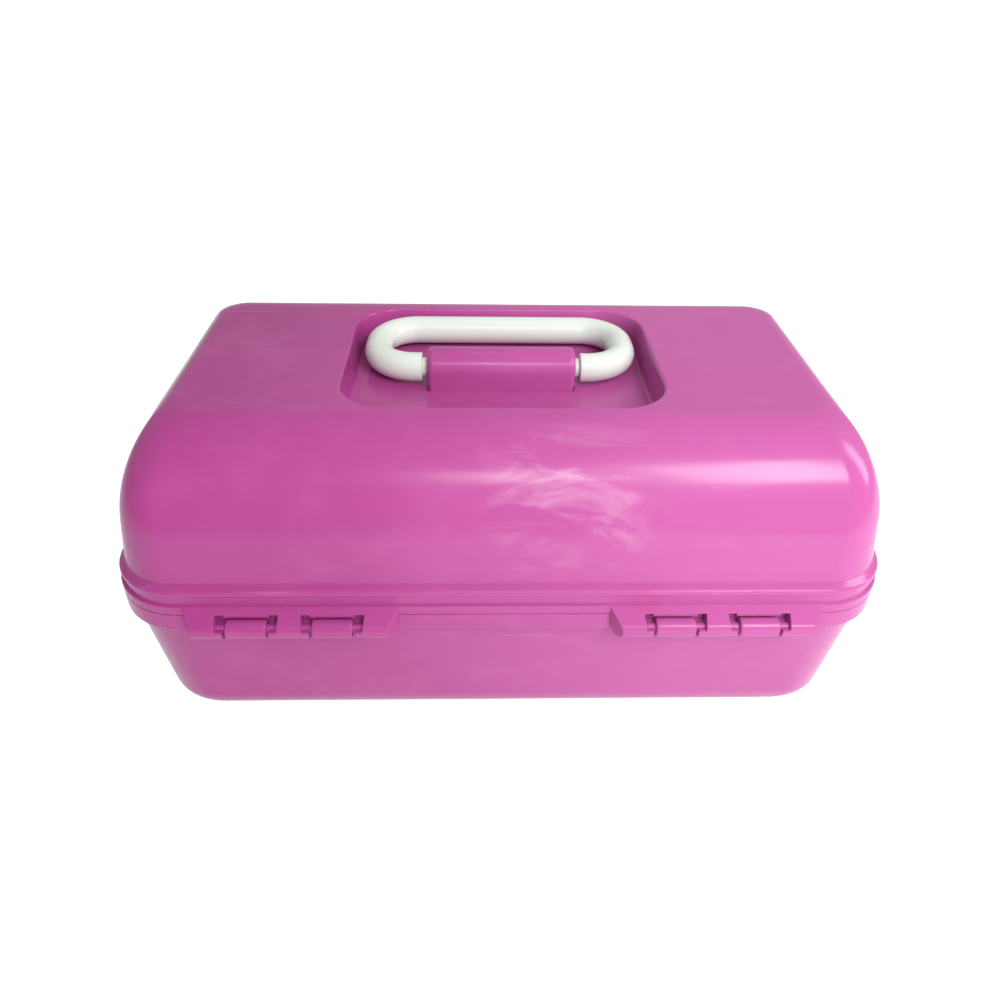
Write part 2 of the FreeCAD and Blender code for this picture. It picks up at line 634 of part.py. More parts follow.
def add_lid_bosses(body):
    """Bosses for the mirror's screws and for the links' pins."""
    posts = new_sketch(body, "mirror_bosses", "XY", PAN_Z)
    holes = new_sketch(body, "mirror_holes", "XY", PAN_Z)
    for along in (-1, 1):
        for across in (-1, 1):
            x = "(%d * screw_along)" % along
            y = "(%d * screw_across)" % across
            draw_circle(posts, x, y, "boss_radius")
            draw_circle(holes, x, y, "screw_radius")
    add_pad(body, "mirror_bosses", posts, "(recess_depth + wall / 2)")
    add_pocket(body, "mirror_holes", holes, "(screw_bite + %s)" % PAST, forwards=True)
    outer = lid_half("case_width", "lid_end_draft", "lid_end_run", "lid_end_rise", LID_LINK[1], "wall / 2")
    for side, sign in SIDES:
        near = "(%s + side_gap)" % LINK_OUT
        x0, x1 = spans(sign, near, outer)
        rod(body, "link_boss_" + side, x0, x1, *LID_LINK, "boss_radius")
        h0, h1 = spans(sign, near, "(%s + rivet_depth)" % near)
        rod(body, "link_hole_" + side, h0, h1, *LID_LINK, "rivet_radius", cut=True)


def make_lid():
    body = new_body("lid_shell")
    add_pad(body, "lip", rim_sketch(body, "lip", "seam_height", "0"), "lip_height")
    add_fillet(body, "lip_round", "lip_round", level_edges(LIP_TOP))
    add_fillet(body, "seam_round", "seam_round", level_edges("seam_height"))
    add_pad(body, "band", rim_sketch(body, "band", LIP_TOP, "band_inset"), "band_height")
    add_pad(body, "bead", rim_sketch(body, "bead", BAND_TOP, "bead_inset"), "bead_height")
    add_fillet(body, "bead_round", "bead_round", level_edges(BEAD_TOP))
    add_fillet(body, "bead_foot", "bead_foot", outline_edges(BAND_TOP, "bead_inset"))
    for side, sign in SIDES:
        add_hinge_bar(body, side, sign)
        cut_hinge_bar(body, side, sign)
    add_latch_ears(body)
    lid_loft(body, "skin", "0", cut=False)
    lid_loft(body, "inside", "wall", cut=True)
    rebate = "(wall_inset + wall - tongue_step - tongue_wall - tongue_gap)"
    add_pocket(body, "rebate", rim_sketch(body, "rebate", "seam_height", rebate),
               "(tongue_height + tongue_gap)")
    add_recess(body)
    add_handle_block(body)
    add_lid_bosses(body)
    return body


# The base.

def add_knuckles(body):
    """Four barrels on the back flange, each with a trunnion at both ends."""
    for side, sign in SIDES:
        for place in ("knuckle_near", "knuckle_far"):
            tag = "%s_%s" % (side, place)
            half = "(knuckle_width / 2)"
            x0, x1 = spans(sign, "(%s - %s)" % (place, half), "(%s + %s)" % (place, half))
            w0, w1 = spans(sign, "(%s - %s + web_step)" % (place, half),
                           "(%s + %s - web_step)" % (place, half))
            root = "(case_depth / 2 - knuckle_root)"
            high = "(seam_height - window_clearance)"
            low = "(%s - hinge_radius + knuckle_chin)" % HINGE_Z
            slab(body, "web_" + tag, w0, w1, [
                (root, high), (HINGE_Y, high), (HINGE_Y, low), (root, low)])
            rod(body, "barrel_" + tag, x0, x1, HINGE_Y, HINGE_Z, "hinge_radius")
    radius = value("hinge_radius")

    def barrel_ends(edge):
        whole = edge.Closed and isinstance(edge.Curve, Part.Circle)
        return whole and abs(edge.Curve.Radius - radius) < 0.01
    add_fillet(body, "knuckle_round", "knuckle_round", barrel_ends)
    for side, sign in SIDES:
        for place in ("knuckle_near", "knuckle_far"):
            tag = "%s_%s" % (side, place)
            half = "(knuckle_width / 2)"
            p0, p1 = spans(sign, "(%s - %s - hinge_pin_length)" % (place, half),
                           "(%s + %s + hinge_pin_length)" % (place, half))
            rod(body, "pin_" + tag, p0, p1, HINGE_Y, HINGE_Z, "hinge_pin_radius")


def add_arm_bosses(body):
    """Bosses on the end walls that hold the arms' rivets."""
    for side, sign in SIDES:
        for name, (y, z) in (("front", FRONT_BASE), ("rear", REAR_BASE)):
            outer = base_half("case_width", "base_end_draft", "base_end_run", "base_end_rise", z, "wall / 2")
            near = "(%s + side_gap)" % ARM_OUT
            x0, x1 = spans(sign, near, outer)
            rod(body, "%s_boss_%s" % (name, side), x0, x1, y, z, "boss_radius")
            h0, h1 = spans(sign, near, "(%s + rivet_depth)" % near)
            rod(body, "%s_hole_%s" % (name, side), h0, h1, y, z, "rivet_radius", cut=True)


def make_base():
    body = new_body("base_shell")
    flange = rim_sketch(body, "flange", "(seam_height - flange_height)", "0")
    add_pad(body, "flange", flange, "flange_height")
    add_fillet(body, "flange_round", "flange_round", level_edges("seam_height - flange_height"))
    add_fillet(body, "seam_round", "seam_round", level_edges("seam_height"))
    add_knuckles(body)
    base_loft(body, "skin", "0", cut=False)
    base_loft(body, "inside", "wall", cut=True)
    tongue = rim_sketch(body, "tongue", "seam_height", "(wall_inset + wall - tongue_step - tongue_wall)")
    inner = "(wall_inset + wall - tongue_step)"
    draw_centred(tongue, "(case_width / 2 - %s)" % inner, "(case_depth / 2 - %s)" % inner,
                 "(rim_corner - %s)" % inner)
    add_pad(body, "tongue", tongue, "tongue_height")
    add_arm_bosses(body)
    hollow = new_sketch(body, "foot_hollow", "XY", "0")
    half_x = base_half("case_width", "base_end_draft", "base_end_run", "base_end_rise", "0", "0")
    half_y = base_half("case_depth", "base_side_draft", "base_side_run", "base_side_rise", "0", "0")
    draw_centred(hollow, "(%s - foot_ring)" % half_x, "(%s - foot_ring)" % half_y,
                 "(bottom_corner - foot_ring)")
    add_pocket(body, "foot_hollow", hollow, "foot_step", forwards=True)
    return body


# The handle.

def draw_handle_line(sketch, leg, bend, radius, reach):
    """The middle line of the bar: leg, corner, side, corner, grip, and back to the other leg."""
    side = bend + radius
    stops = [((-leg, 0), (-bend, 0)), ((-side, -radius), (-side, radius - reach)),
             ((-bend, -reach), (bend, -reach)), ((side, radius - reach), (side, -radius)),
             ((bend, 0), (leg, 0))]
    middles = [(-bend, -radius), (-bend, radius - reach), (bend, radius - reach), (bend, -radius)]
    up = FreeCAD.Vector(0, 0, 1)
    for number, (start, end) in enumerate(stops):
        sketch.addGeometry(Part.LineSegment(FreeCAD.Vector(*start, 0), FreeCAD.Vector(*end, 0)), False)
        if number < len(middles):
            circle = Part.Circle(FreeCAD.Vector(*middles[number], 0), up, radius)
            turn = math.pi / 2 * (number + 1)
            sketch.addGeometry(Part.ArcOfCircle(circle, turn, turn + math.pi / 2), False)


def make_handle():
    """A round bar bent into a flat ring with a gap, where the block sits."""
    body = new_body("handle")
    leg_end = "(block_length / 2 + leg_gap)"
    side_x = "(handle_width / 2 - grip_diameter / 2)"
    bend_x = "(%s - handle_bend)" % side_x
    spine = new_sketch(body, "spine", "XY", PIVOT_Z)
    draw_handle_line(spine, value(leg_end), value(bend_x), value("handle_bend"), value("handle_reach"))
    for number in range(8):
        spine.addConstraint(Sketcher.Constraint("Tangent", number, 2, number + 1, 1))
    pin_point(spine, 0, 1, "-(%s)" % leg_end, "0")
    pin_point(spine, 8, 2, leg_end, "0")
    near_y = "(-handle_bend)"
    far_y = "(handle_bend - handle_reach)"
    corners = ((1, "-(%s)" % bend_x, near_y), (3, "-(%s)" % bend_x, far_y),
               (5, bend_x, far_y), (7, bend_x, near_y))
    for number, x, y in corners:
        pin_point(spine, number, 3, x, y)
    for number in (1, 3, 5, 7):
        constrain(spine, "Radius", number, size="handle_bend")
    profile = new_sketch(body, "profile", "YZ", "-(%s)" % leg_end)
    draw_circle(profile, "0", PIVOT_Z, "(grip_diameter / 2)")
    pipe = body.newObject("PartDesign::AdditivePipe", "handle_bar")
    pipe.Profile = profile
    pipe.Spine = spine
    doc.recompute()
    end = value(leg_end)

    def leg_ends(edge):
        box = edge.BoundBox
        return abs(abs(box.XMin) - end) < 0.01 and abs(box.XMax - box.XMin) < 0.01
    add_fillet(body, "leg_round", "leg_round", leg_ends)
    for side, sign in SIDES:
        x0, x1 = spans(sign, "(block_length / 2 + side_gap)", "(%s + leg_overlap)" % leg_end)
        rod(body, "shoulder_" + side, x0, x1, "0", PIVOT_Z, "(shoulder_diameter / 2)")
        t0, t1 = spans(sign, "(block_length / 2 - trunnion_length)", "(%s + leg_overlap)" % leg_end)
        rod(body, "trunnion_" + side, t0, t1, "0", PIVOT_Z, "(trunnion_diameter / 2)")
    return body


# The latch.

def make_latch():
    """A flap hung from the lid's ears, drawn latched about its own axis, then stood open."""
    body = new_body("latch")
    half = "(latch_width / 2)"
    rim = "(-%s - case_depth / 2)" % LATCH_Y
    under = "(latch_rise + flange_height + latch_gap)"
    foot = "(%s + latch_plate)" % under
    slab(body, "plate", "(-%s)" % half, half, [
        ("(-latch_radius)", "0"),
        ("(latch_neck - latch_radius)", "0"),
        ("(%s - latch_standoff)" % rim, "(-latch_rise)"),
        ("(%s - latch_standoff)" % rim, "(-%s)" % under),
        ("(%s + latch_hook)" % rim, "(-%s)" % under),
        ("(%s + latch_hook)" % rim, "(latch_bevel - %s)" % foot),
        ("(%s - latch_standoff - latch_bevel)" % rim, "(-%s)" % foot),
        ("(latch_bevel)", "(-%s)" % foot)])
    end = value(half)
    low = value("(-%s)" % foot)
    outside = value("latch_bevel")

    def outer_edges(edge):
        box = edge.BoundBox
        across = abs(box.YMin - outside) < 0.01 and abs(box.ZMax - low) < 0.01
        beside = abs(abs(box.XMin) - end) < 0.01 and abs(box.XMax - box.XMin) < 0.01
        return across or (beside and box.YMax < outside + 0.01 and box.ZMax - box.ZMin > -low / 2)
    add_fillet(body, "outer_round", "latch_round", outer_edges)
    rod(body, "barrel", "(-%s)" % half, half, "0", "0", "latch_radius")
    pin = "(%s + latch_pin_length)" % half
    rod(body, "pin", "(-%s)" % pin, pin, "0", "0", "latch_pin_radius")
    body.Placement = FreeCAD.Placement(FreeCAD.Vector(0, 0, 0),
                                       FreeCAD.Rotation(FreeCAD.Vector(-1, 0, 0), 1.0))
    bind(body, "Placement.Base.y", LATCH_Y)
    bind(body, "Placement.Base.z", LATCH_Z)
    bind(body, "Placement.Rotation.Angle", "latch_release")
    return body


# The mirror.

def make_mirror():
    body = new_body("mirror")
    sketch = new_sketch(body, "glass", "XY", "(%s - frame_plate + frame_lip)" % PAN_Z)
    draw_centred(sketch, "(mirror_length / 2)", "(mirror_width / 2)", "mirror_corner")
    add_pad(body, "glass", sketch, "mirror_glass")
    return body


def make_mirror_frame():
    body = new_body("mirror_frame")
    bottom = "(%s - frame_plate)" % PAN_Z
    plate = new_sketch(body, "plate", "XY", bottom)
    draw_centred(plate, "(mirror_length / 2 + frame_margin)", "(mirror_width / 2 + frame_edge)",
                 "(mirror_corner + frame_edge)")
    add_pad(body, "plate", plate, "frame_plate")
    add_fillet(body, "plate_round", "frame_round", level_edges(bottom))
    seat = new_sketch(body, "seat", "XY", "(%s + frame_lip)" % bottom)
    draw_centred(seat, "(mirror_length / 2 + glass_gap)", "(mirror_width / 2 + glass_gap)",
                 "(mirror_corner + glass_gap)")
    add_pocket(body, "seat", seat, "(mirror_glass + glass_gap)")
    view = new_sketch(body, "view", "XY", bottom)
    draw_centred(view, "(mirror_length / 2 - frame_lip)", "(mirror_width / 2 - frame_lip)",
                 "(mirror_corner - frame_lip)")
    add_pocket(body, "view", view, "(frame_lip + %s)" % SLIVER)
    holes = new_sketch(body, "holes", "XY", bottom)
    sinks = new_sketch(body, "sinks", "XY", bottom)
    for along in (-1, 1):
        for across in (-1, 1):
            x = "(%d * screw_along)" % along
            y = "(%d * screw_across)" % across
            draw_circle(holes, x, y, "(screw_radius + pivot_clearance)")
            draw_circle(sinks, x, y, "(screw_head_radius + glass_gap)")
    add_pocket(body, "holes", holes, "frame_plate")
    add_pocket(body, "sinks", sinks, "screw_head")
    return body


# The tray.

def add_cells(body, count, front, back, row):
    """A row of compartments with equal widths between equal walls."""
    room = "((tray_length - 2 * %s - %d * tray_wall) / %d)" % (lean(), count + 1, count)
    for number in range(count):
        left = "(-tray_length / 2 + %s + tray_wall + %d * (%s + tray_wall))" % (lean(), number, room)
        right = "(%s + %s)" % (left, room)
        name = "%s_cell%d" % (row, number)
        low = new_sketch(body, name + "_floor", "XY", "(tray_bottom + tray_wall)")
        draw_rounded(low, left, right, front, back, "cell_corner")
        high = new_sketch(body, name + "_mouth", "XY", "tray_top")
        flare = "(cell_flare * %s)" % lean()
        draw_rounded(high, "(%s - %s)" % (left, flare), "(%s + %s)" % (right, flare),
                     "(%s - %s)" % (front, flare), "(%s + %s)" % (back, flare),
                     "(cell_corner + %s)" % flare)
        add_loft(body, name, [low, high], cut=True)


def lean():
    """How far the tray's walls draw in from top to bottom."""
    return "(tan(tray_draft) * (tray_top - tray_bottom))"


def make_tray():
    body = new_body("tray")
    low = new_sketch(body, "bottom", "XY", "tray_bottom")
    draw_rounded(low, "(-tray_length / 2 + %s)" % lean(), "(tray_length / 2 - %s)" % lean(),
                 "(tray_front + %s)" % lean(), "(tray_back - %s)" % lean(), "(tray_corner - %s)" % lean())
    high = new_sketch(body, "top", "XY", "tray_top")
    draw_rounded(high, "(-tray_length / 2)", "(tray_length / 2)", "tray_front", "tray_back", "tray_corner")
    add_loft(body, "shell", [low, high])
    front = "(tray_front + %s + tray_wall)" % lean()
    back = "(tray_back - %s - tray_wall)" % lean()
    add_cells(body, FRONT_CELLS, front, "(tray_split - tray_wall / 2)", "front")
    add_cells(body, REAR_CELLS, "(tray_split + tray_wall / 2)", back, "rear")
    for side, sign in SIDES:
        for name, (y, z) in (("front", FRONT_TRAY), ("rear", REAR_TRAY)):
            x0, x1 = spans(sign, "(tray_length / 2 - tray_wall)", "(%s - side_gap)" % ARM_IN)
            rod(body, "%s_boss_%s" % (name, side), x0, x1, y, z, "boss_radius")
            rod(body, "%s_hole_%s" % (name, side), x0, x1, y, z, "rivet_radius", cut=True)
    return body


# Arms and links.

def bar_with_holes(label, sign, near, thickness, edges, half, holes):
    """A flat bar beside the tray: its edges as round-ended strips, then a hole at each pivot."""
    body = new_body(label)
    x0, x1 = spans(sign, near, "(%s + %s)" % (near, thickness))
    for number, (start, end) in enumerate(edges):
        sketch = new_sketch(body, "strip%d" % number, "YZ", x0)
        draw_slot(sketch, start, end, half)
        add_pad(body, "strip%d" % number, sketch, thickness)
    for number, (y, z) in enumerate(holes):
        rod(body, "hole%d" % number, x0, x1, y, z, "(rivet_radius + pivot_clearance)", cut=True)
    return body


def make_arms(side, sign):
    front = bar_with_holes("front_arm_" + side, sign, ARM_IN, "arm_plate",
                           [(FRONT_TRAY, FRONT_BASE)], "arm_half", [FRONT_TRAY, FRONT_BASE])
    rear = bar_with_holes("rear_arm_" + side, sign, ARM_IN, "arm_plate",
                          [(REAR_TRAY, REAR_BASE), (REAR_TRAY, CRANK), (CRANK, REAR_BASE)], "arm_half",
                          [REAR_TRAY, REAR_BASE, CRANK])
    link = bar_with_holes("lid_link_" + side, sign, LINK_IN, "link_plate",
                          [(CRANK, LID_LINK)], "link_half", [CRANK, LID_LINK])
    return [front, rear, link]


# Rivets and screws.

def turned(name, kind, direction, x, y, z):
    """A primitive with its axis along the given direction, placed by formulas."""
    piece = doc.addObject(kind, name)
    piece.Placement = FreeCAD.Placement(FreeCAD.Vector(0, 0, 0),
                                        FreeCAD.Rotation(FreeCAD.Vector(0, 0, 1), direction))
    for axis, text in (("x", x), ("y", y), ("z", z)):
        bind(piece, "Placement.Base." + axis, text)
    return piece


def make_rivet(name, sign, tip, head_at, head_outwards, y, z):
    """A shank from its tip to its head, along X; the head's outer rim is bevelled."""
    way = 1 if head_outwards else -1
    shank = turned(name + "_shank", "Part::Cylinder", FreeCAD.Vector(sign * way, 0, 0),
                   "(%d * %s)" % (sign, tip), y, z)
    bind(shank, "Radius", "rivet_radius")
    bind(shank, "Height", "(%d * (%s - %s) + rivet_head / 2)" % (way, head_at, tip))
    head = turned(name + "_head", "Part::Cone", FreeCAD.Vector(sign * way, 0, 0),
                  "(%d * %s)" % (sign, head_at), y, z)
    bind(head, "Radius1", "rivet_head_radius")
    bind(head, "Radius2", "(rivet_head_radius * head_taper)")
    bind(head, "Height", "rivet_head")
    rivet = doc.addObject("Part::Fuse", name)
    rivet.Base = shank
    rivet.Tool = head
    return rivet


def gather(label, pieces):
    """Identical fasteners that share a node, as separate solids."""
    group = doc.addObject("Part::Compound", label)
    group.Label = label
    group.Links = pieces
    return group


def make_rivets():
    base, tray, crank, lid = [], [], [], []
    inner_face = "(%s - side_gap)" % ARM_IN
    outer_face = "(%s + side_gap)" % ARM_OUT
    for side, sign in SIDES:
        for name, (y, z) in (("front", FRONT_BASE), ("rear", REAR_BASE)):
            base.append(make_rivet("base_%s_%s" % (name, side), sign,
                                   "(%s + rivet_depth)" % outer_face, inner_face, False, y, z))
        for name, (y, z) in (("front", FRONT_TRAY), ("rear", REAR_TRAY)):
            tray.append(make_rivet("tray_%s_%s" % (name, side), sign,
                                   "(tray_length / 2 - tray_wall)", outer_face, True, y, z))
        crank.append(make_rivet("crank_" + side, sign, ARM_IN, "(%s + side_gap)" % LINK_OUT, True, *CRANK))
        lid.append(make_rivet("link_" + side, sign, "(%s + side_gap + rivet_depth)" % LINK_OUT,
                              "(%s - side_gap)" % LINK_IN, False, *LID_LINK))
    return [gather("base_rivets", base), gather("tray_rivets", tray),
            gather("crank_rivets", crank), gather("link_rivets", lid)]


def make_screws():
    """Four pan-head screws that hold the mirror's frame to the lid."""
    screws = []
    seat = "(%s - frame_plate + screw_head)" % PAN_Z
    up = FreeCAD.Vector(0, 0, 1)
    for along in (-1, 1):
        for across in (-1, 1):
            name = "mirror_screw%d%d" % (along + 1, across + 1)
            x = "(%d * screw_along)" % along
            y = "(%d * screw_across)" % across
            shank = turned(name + "_shank", "Part::Cylinder", up, x, y, "(%s - screw_head / 2)" % seat)
            bind(shank, "Radius", "screw_radius")
            bind(shank, "Height", "(frame_plate - screw_head / 2 + screw_bite)")
            head = turned(name + "_head", "Part::Cylinder", up, x, y, "(%s - screw_head)" % seat)
            bind(head, "Radius", "screw_head_radius")
            bind(head, "Height", "screw_head")
            screw = doc.addObject("Part::Fuse", name)
            screw.Base = shank
            screw.Tool = head
            screws.append(screw)
    return [gather("mirror_screws", screws)]


# Build, check and write.

def check(parts):
    bad = [item.Name for item in doc.Objects if {"Invalid", "Error"} & set(item.State)]
    if bad:
        raise RuntimeError("failed: " + ", ".join(bad))
    for part in parts:
        if part.Shape.isNull() or not part.Shape.isValid():
            raise RuntimeError("no valid shape: " + part.Label)


def main():
    parts = [make_base(), make_lid(), make_handle(), make_latch(), make_mirror(), make_mirror_frame(),
             make_tray()]
    for side, sign in SIDES:
        parts += make_arms(side, sign)
    parts += make_rivets() + make_screws()
    doc.recompute()
    check(parts)
    os.makedirs("parts", exist_ok=True)
    for part in parts:
        part.Shape.exportStep("parts/%s.step" % part.Label)
        box = part.Shape.BoundBox
        print("%-16s solids %d  volume %9.1f  x %7.2f %7.2f  y %7.2f %7.2f  z %7.2f %7.2f" % (
            part.Label, len(part.Shape.Solids), part.Shape.Volume,
            box.XMin, box.XMax, box.YMin, box.YMax, box.ZMin, box.ZMax))


main()
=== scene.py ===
# %% [markdown]
# # A makeup case in coloured plastic
#
# A moulded clamshell case lies shut with its back towards the camera: a domed lid with a recess
# for the carry handle, a base with a flange all round, and a snap-in hinge between them. The
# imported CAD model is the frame. This scene keeps its inner parts and gives the outer mouldings
# smooth surfaces, plastic with a worn gloss, a pale floor and soft light.

# %% Load the frame
import json
import math

import bpy
from mathutils import Matrix, Vector

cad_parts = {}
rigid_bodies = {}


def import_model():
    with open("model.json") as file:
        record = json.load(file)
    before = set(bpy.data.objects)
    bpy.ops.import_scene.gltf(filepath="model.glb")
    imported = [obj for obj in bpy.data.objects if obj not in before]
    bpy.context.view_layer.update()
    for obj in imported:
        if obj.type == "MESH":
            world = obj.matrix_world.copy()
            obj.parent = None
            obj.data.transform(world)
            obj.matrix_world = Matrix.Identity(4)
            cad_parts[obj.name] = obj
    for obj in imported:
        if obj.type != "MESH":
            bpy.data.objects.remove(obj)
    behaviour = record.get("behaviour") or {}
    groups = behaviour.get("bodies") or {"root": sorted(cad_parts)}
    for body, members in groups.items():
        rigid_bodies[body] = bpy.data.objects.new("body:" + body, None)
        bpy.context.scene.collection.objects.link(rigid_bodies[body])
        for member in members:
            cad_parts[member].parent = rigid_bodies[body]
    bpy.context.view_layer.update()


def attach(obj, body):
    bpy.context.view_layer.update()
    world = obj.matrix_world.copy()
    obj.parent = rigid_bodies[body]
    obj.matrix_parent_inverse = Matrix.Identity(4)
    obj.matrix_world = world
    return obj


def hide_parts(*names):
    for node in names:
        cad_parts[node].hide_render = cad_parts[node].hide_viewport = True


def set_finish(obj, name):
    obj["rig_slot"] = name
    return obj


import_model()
MM = 0.001

# %% [markdown]
# ## Shared measures
#
# All sizes are in millimetres and come down to metres where a mesh is made. Both shells are
# stacks of rounded rectangles: half a length, half a width, a corner radius and a height. The
# outlines could be listed one by one, but a wall follows a rule, so two functions give them: the
# walls lean straight, then roll over in a quarter of an ellipse.

# %% Measures
HALF_X, HALF_Y, TOP, SEAM = 165.0, 102.75, 152.0, 82.0
WALL, INSET, RIM_CORNER = 2.6, 1.8, 31.0
# Of each wall: its lean in degrees, how far its roll comes in, and how high the roll is.
LID_END_LEAN, LID_END_ROLL, LID_END_RISE = 7.7, 16.2, 34.9
LID_SIDE_LEAN, LID_SIDE_ROLL, LID_SIDE_RISE = 12.0, 32.6, 39.8
BASE_END_LEAN, BASE_END_ROLL, BASE_END_RISE = 5.3, 17.5, 17.5
BASE_SIDE_LEAN, BASE_SIDE_ROLL, BASE_SIDE_RISE = 10.3, 20.8, 20.9
LID_CORNER_LOSS, BASE_CORNER_LOSS = 17.0, 7.0


def lean(degrees, distance):
    """How far a leaning wall has come in over a distance."""
    return math.tan(math.radians(degrees)) * distance


def roll(share):
    """How far a quarter ellipse has drawn in, from 0 at its start to 1 at its end."""
    share = max(0.0, min(1.0, share))
    return 1.0 - math.sqrt(1.0 - share * share)


def lid_ring(z, inward=0.0):
    """The lid's outline at a height, for its outer face or inward of it."""
    top = TOP - inward
    half_x = HALF_X - INSET - inward - lean(LID_END_LEAN, z - SEAM)
    half_x -= LID_END_ROLL * roll((z - top + LID_END_RISE) / LID_END_RISE)
    half_y = HALF_Y - INSET - inward - lean(LID_SIDE_LEAN, z - SEAM)
    half_y -= LID_SIDE_ROLL * roll((z - top + LID_SIDE_RISE) / LID_SIDE_RISE)
    corner = RIM_CORNER - INSET - inward - LID_CORNER_LOSS * (z - SEAM) / (TOP - SEAM)
    return half_x, half_y, corner, z


def base_ring(z, inward=0.0):
    """The base's outline at a height, for its outer face or inward of it."""
    half_x = HALF_X - INSET - inward - lean(BASE_END_LEAN, SEAM - z)
    half_x -= BASE_END_ROLL * roll((BASE_END_RISE + inward - z) / BASE_END_RISE)
    half_y = HALF_Y - INSET - inward - lean(BASE_SIDE_LEAN, SEAM - z)
    half_y -= BASE_SIDE_ROLL * roll((BASE_SIDE_RISE + inward - z) / BASE_SIDE_RISE)
    corner = RIM_CORNER - INSET - inward - BASE_CORNER_LOSS * (SEAM - z) / SEAM
    return half_x, half_y, corner, z


print("lid at mid height:", [round(number, 1) for number in lid_ring(117.0)])

# %% [markdown]
# ## Skins from rings
#
# A moulded shell is one skin, outside and inside. It could be a box with bevels, but its walls
# lean by a different angle each way. So each ring is a plane that is stretched, rounded at its
# corners and emptied of its face, and is bridged to the ring before it, as a loft is. Two vertex
# groups take turns to remember the last ring, so only neighbours are joined.

# %% Ring by ring
CORNER_STEPS = 12
MERGE = 0.01
# Rings closer in height than the first are set the second apart, so that the bridge knows which
# way it runs.
SAME_HEIGHT, NUDGE = 0.015, 0.02


def add_ring(half_x, half_y, corner, z):
    """A flat rounded rectangle, left selected."""
    bpy.ops.mesh.select_all(action="DESELECT")
    centre = (0, 0, z * MM)
    bpy.ops.mesh.primitive_plane_add(size=2, location=centre)
    bpy.ops.transform.resize(value=(half_x * MM, half_y * MM, 1), center_override=centre)
    bpy.ops.mesh.bevel(offset=corner * MM, offset_type="OFFSET", segments=CORNER_STEPS,
                       affect="VERTICES")


def skin(name, rings):
    """A closed body through the rings, with a flat face over the first and the last."""
    bpy.ops.object.select_all(action="DESELECT")
    bpy.ops.mesh.primitive_plane_add(size=2 * MM)
    piece = bpy.context.object
    piece.name = name
    groups = piece.vertex_groups
    for title in ("even", "odd"):
        groups.new(name=title)
    bpy.ops.object.mode_set(mode="EDIT")
    bpy.ops.mesh.select_mode(type="VERT")
    bpy.ops.mesh.delete(type="VERT")
    height = None
    for number, (half_x, half_y, corner, z) in enumerate(rings):
        if height is not None and abs(z - height) < SAME_HEIGHT:
            z = height + NUDGE
        height = z
        add_ring(half_x, half_y, corner, z)
        groups.active_index = number % 2
        bpy.ops.object.vertex_group_assign()
        if number not in (0, len(rings) - 1):
            bpy.ops.mesh.delete(type="ONLY_FACE")
        bpy.ops.mesh.select_all(action="DESELECT")
        for turn in (0, 1):
            groups.active_index = turn
            bpy.ops.object.vertex_group_select()
        if number:
            bpy.ops.mesh.bridge_edge_loops()
            bpy.ops.mesh.select_all(action="DESELECT")
            groups.active_index = (number - 1) % 2
            bpy.ops.object.vertex_group_select()
            bpy.ops.object.vertex_group_remove_from()
    bpy.ops.mesh.select_all(action="SELECT")
    bpy.ops.mesh.remove_doubles(threshold=MERGE * MM)
    bpy.ops.mesh.normals_make_consistent(inside=False)
    bpy.ops.object.mode_set(mode="OBJECT")
    groups.clear()
    return piece


print("helpers ready: add_ring, skin")

# %% [markdown]
# ## Smooth faces, crisp edges
#
# Moulded plastic shows soft rounds beside flat walls. More faces would do it at a cost. Here the
# shading is smoothed below an angle, and a weighted normal keeps the large faces flat.

# %% Smoothing


def work_on(piece):
    """Selects one piece alone and makes it the active one."""
    bpy.ops.object.select_all(action="DESELECT")
    piece.select_set(True)
    bpy.context.view_layer.objects.active = piece


def smooth(piece, angle):
    """Smooth shading that keeps edges sharper than the angle, and flat faces flat."""
    work_on(piece)
    bpy.ops.object.shade_smooth_by_angle(angle=math.radians(angle))
    bpy.ops.object.modifier_add(type="WEIGHTED_NORMAL")
    piece.modifiers[-1].keep_sharp = True
    piece.modifiers[-1].weight = 80
    bpy.ops.object.modifier_apply(modifier=piece.modifiers[-1].name)
    return piece


print("helpers ready: work_on, smooth")

# %% [markdown]
# ## The lid from its recess to its walls
#
# The lid is one moulding. Its skin starts in the middle of the recess floor, climbs the recess
# walls and the rounded recess edge, crosses the flat top and rolls down over the shoulders into
# the leaning walls. The recess could be cut out afterwards, but as rings it gets its rounded
# edges for nothing.

# %% Lid rings
RECESS_X, RECESS_Y, RECESS_CORNER = 71.0, 52.0, 22.0
RECESS_EDGE, EDGE_STEPS, SHOULDER_STEPS = 1.4, 6, 22
RECESS_PROFILE = ((15.5, 3.1), (15.35, 2.3), (14.9, 1.65), (14.3, 1.25), (13.5, 1.1), (3.0, 0.21))


def recess_ring(grow, z):
    """An outline parallel to the recess's."""
    return RECESS_X + grow, RECESS_Y + grow, RECESS_CORNER + grow, z


def quarter(step, steps):
    """The height left at a step of a quarter round, from 1 at step 0 to 0 at the last."""
    return 1 - math.sin(math.pi / 2 * step / steps)


lid_rings = [recess_ring(-inset, TOP - depth) for depth, inset in RECESS_PROFILE]
for step in range(1, EDGE_STEPS + 1):
    angle = math.pi / 2 * step / EDGE_STEPS
    lid_rings.append(recess_ring(RECESS_EDGE * (1 - math.cos(angle)),
                                 TOP - RECESS_EDGE * (1 - math.sin(angle))))
for step in range(SHOULDER_STEPS, -1, -1):
    lid_rings.append(lid_ring(TOP - LID_SIDE_RISE * quarter(step, SHOULDER_STEPS)))
for z in (108.0, 104.0, 100.0, 97.0, 95.2):
    lid_rings.append(lid_ring(z))
print("rings down to the bead:", len(lid_rings))

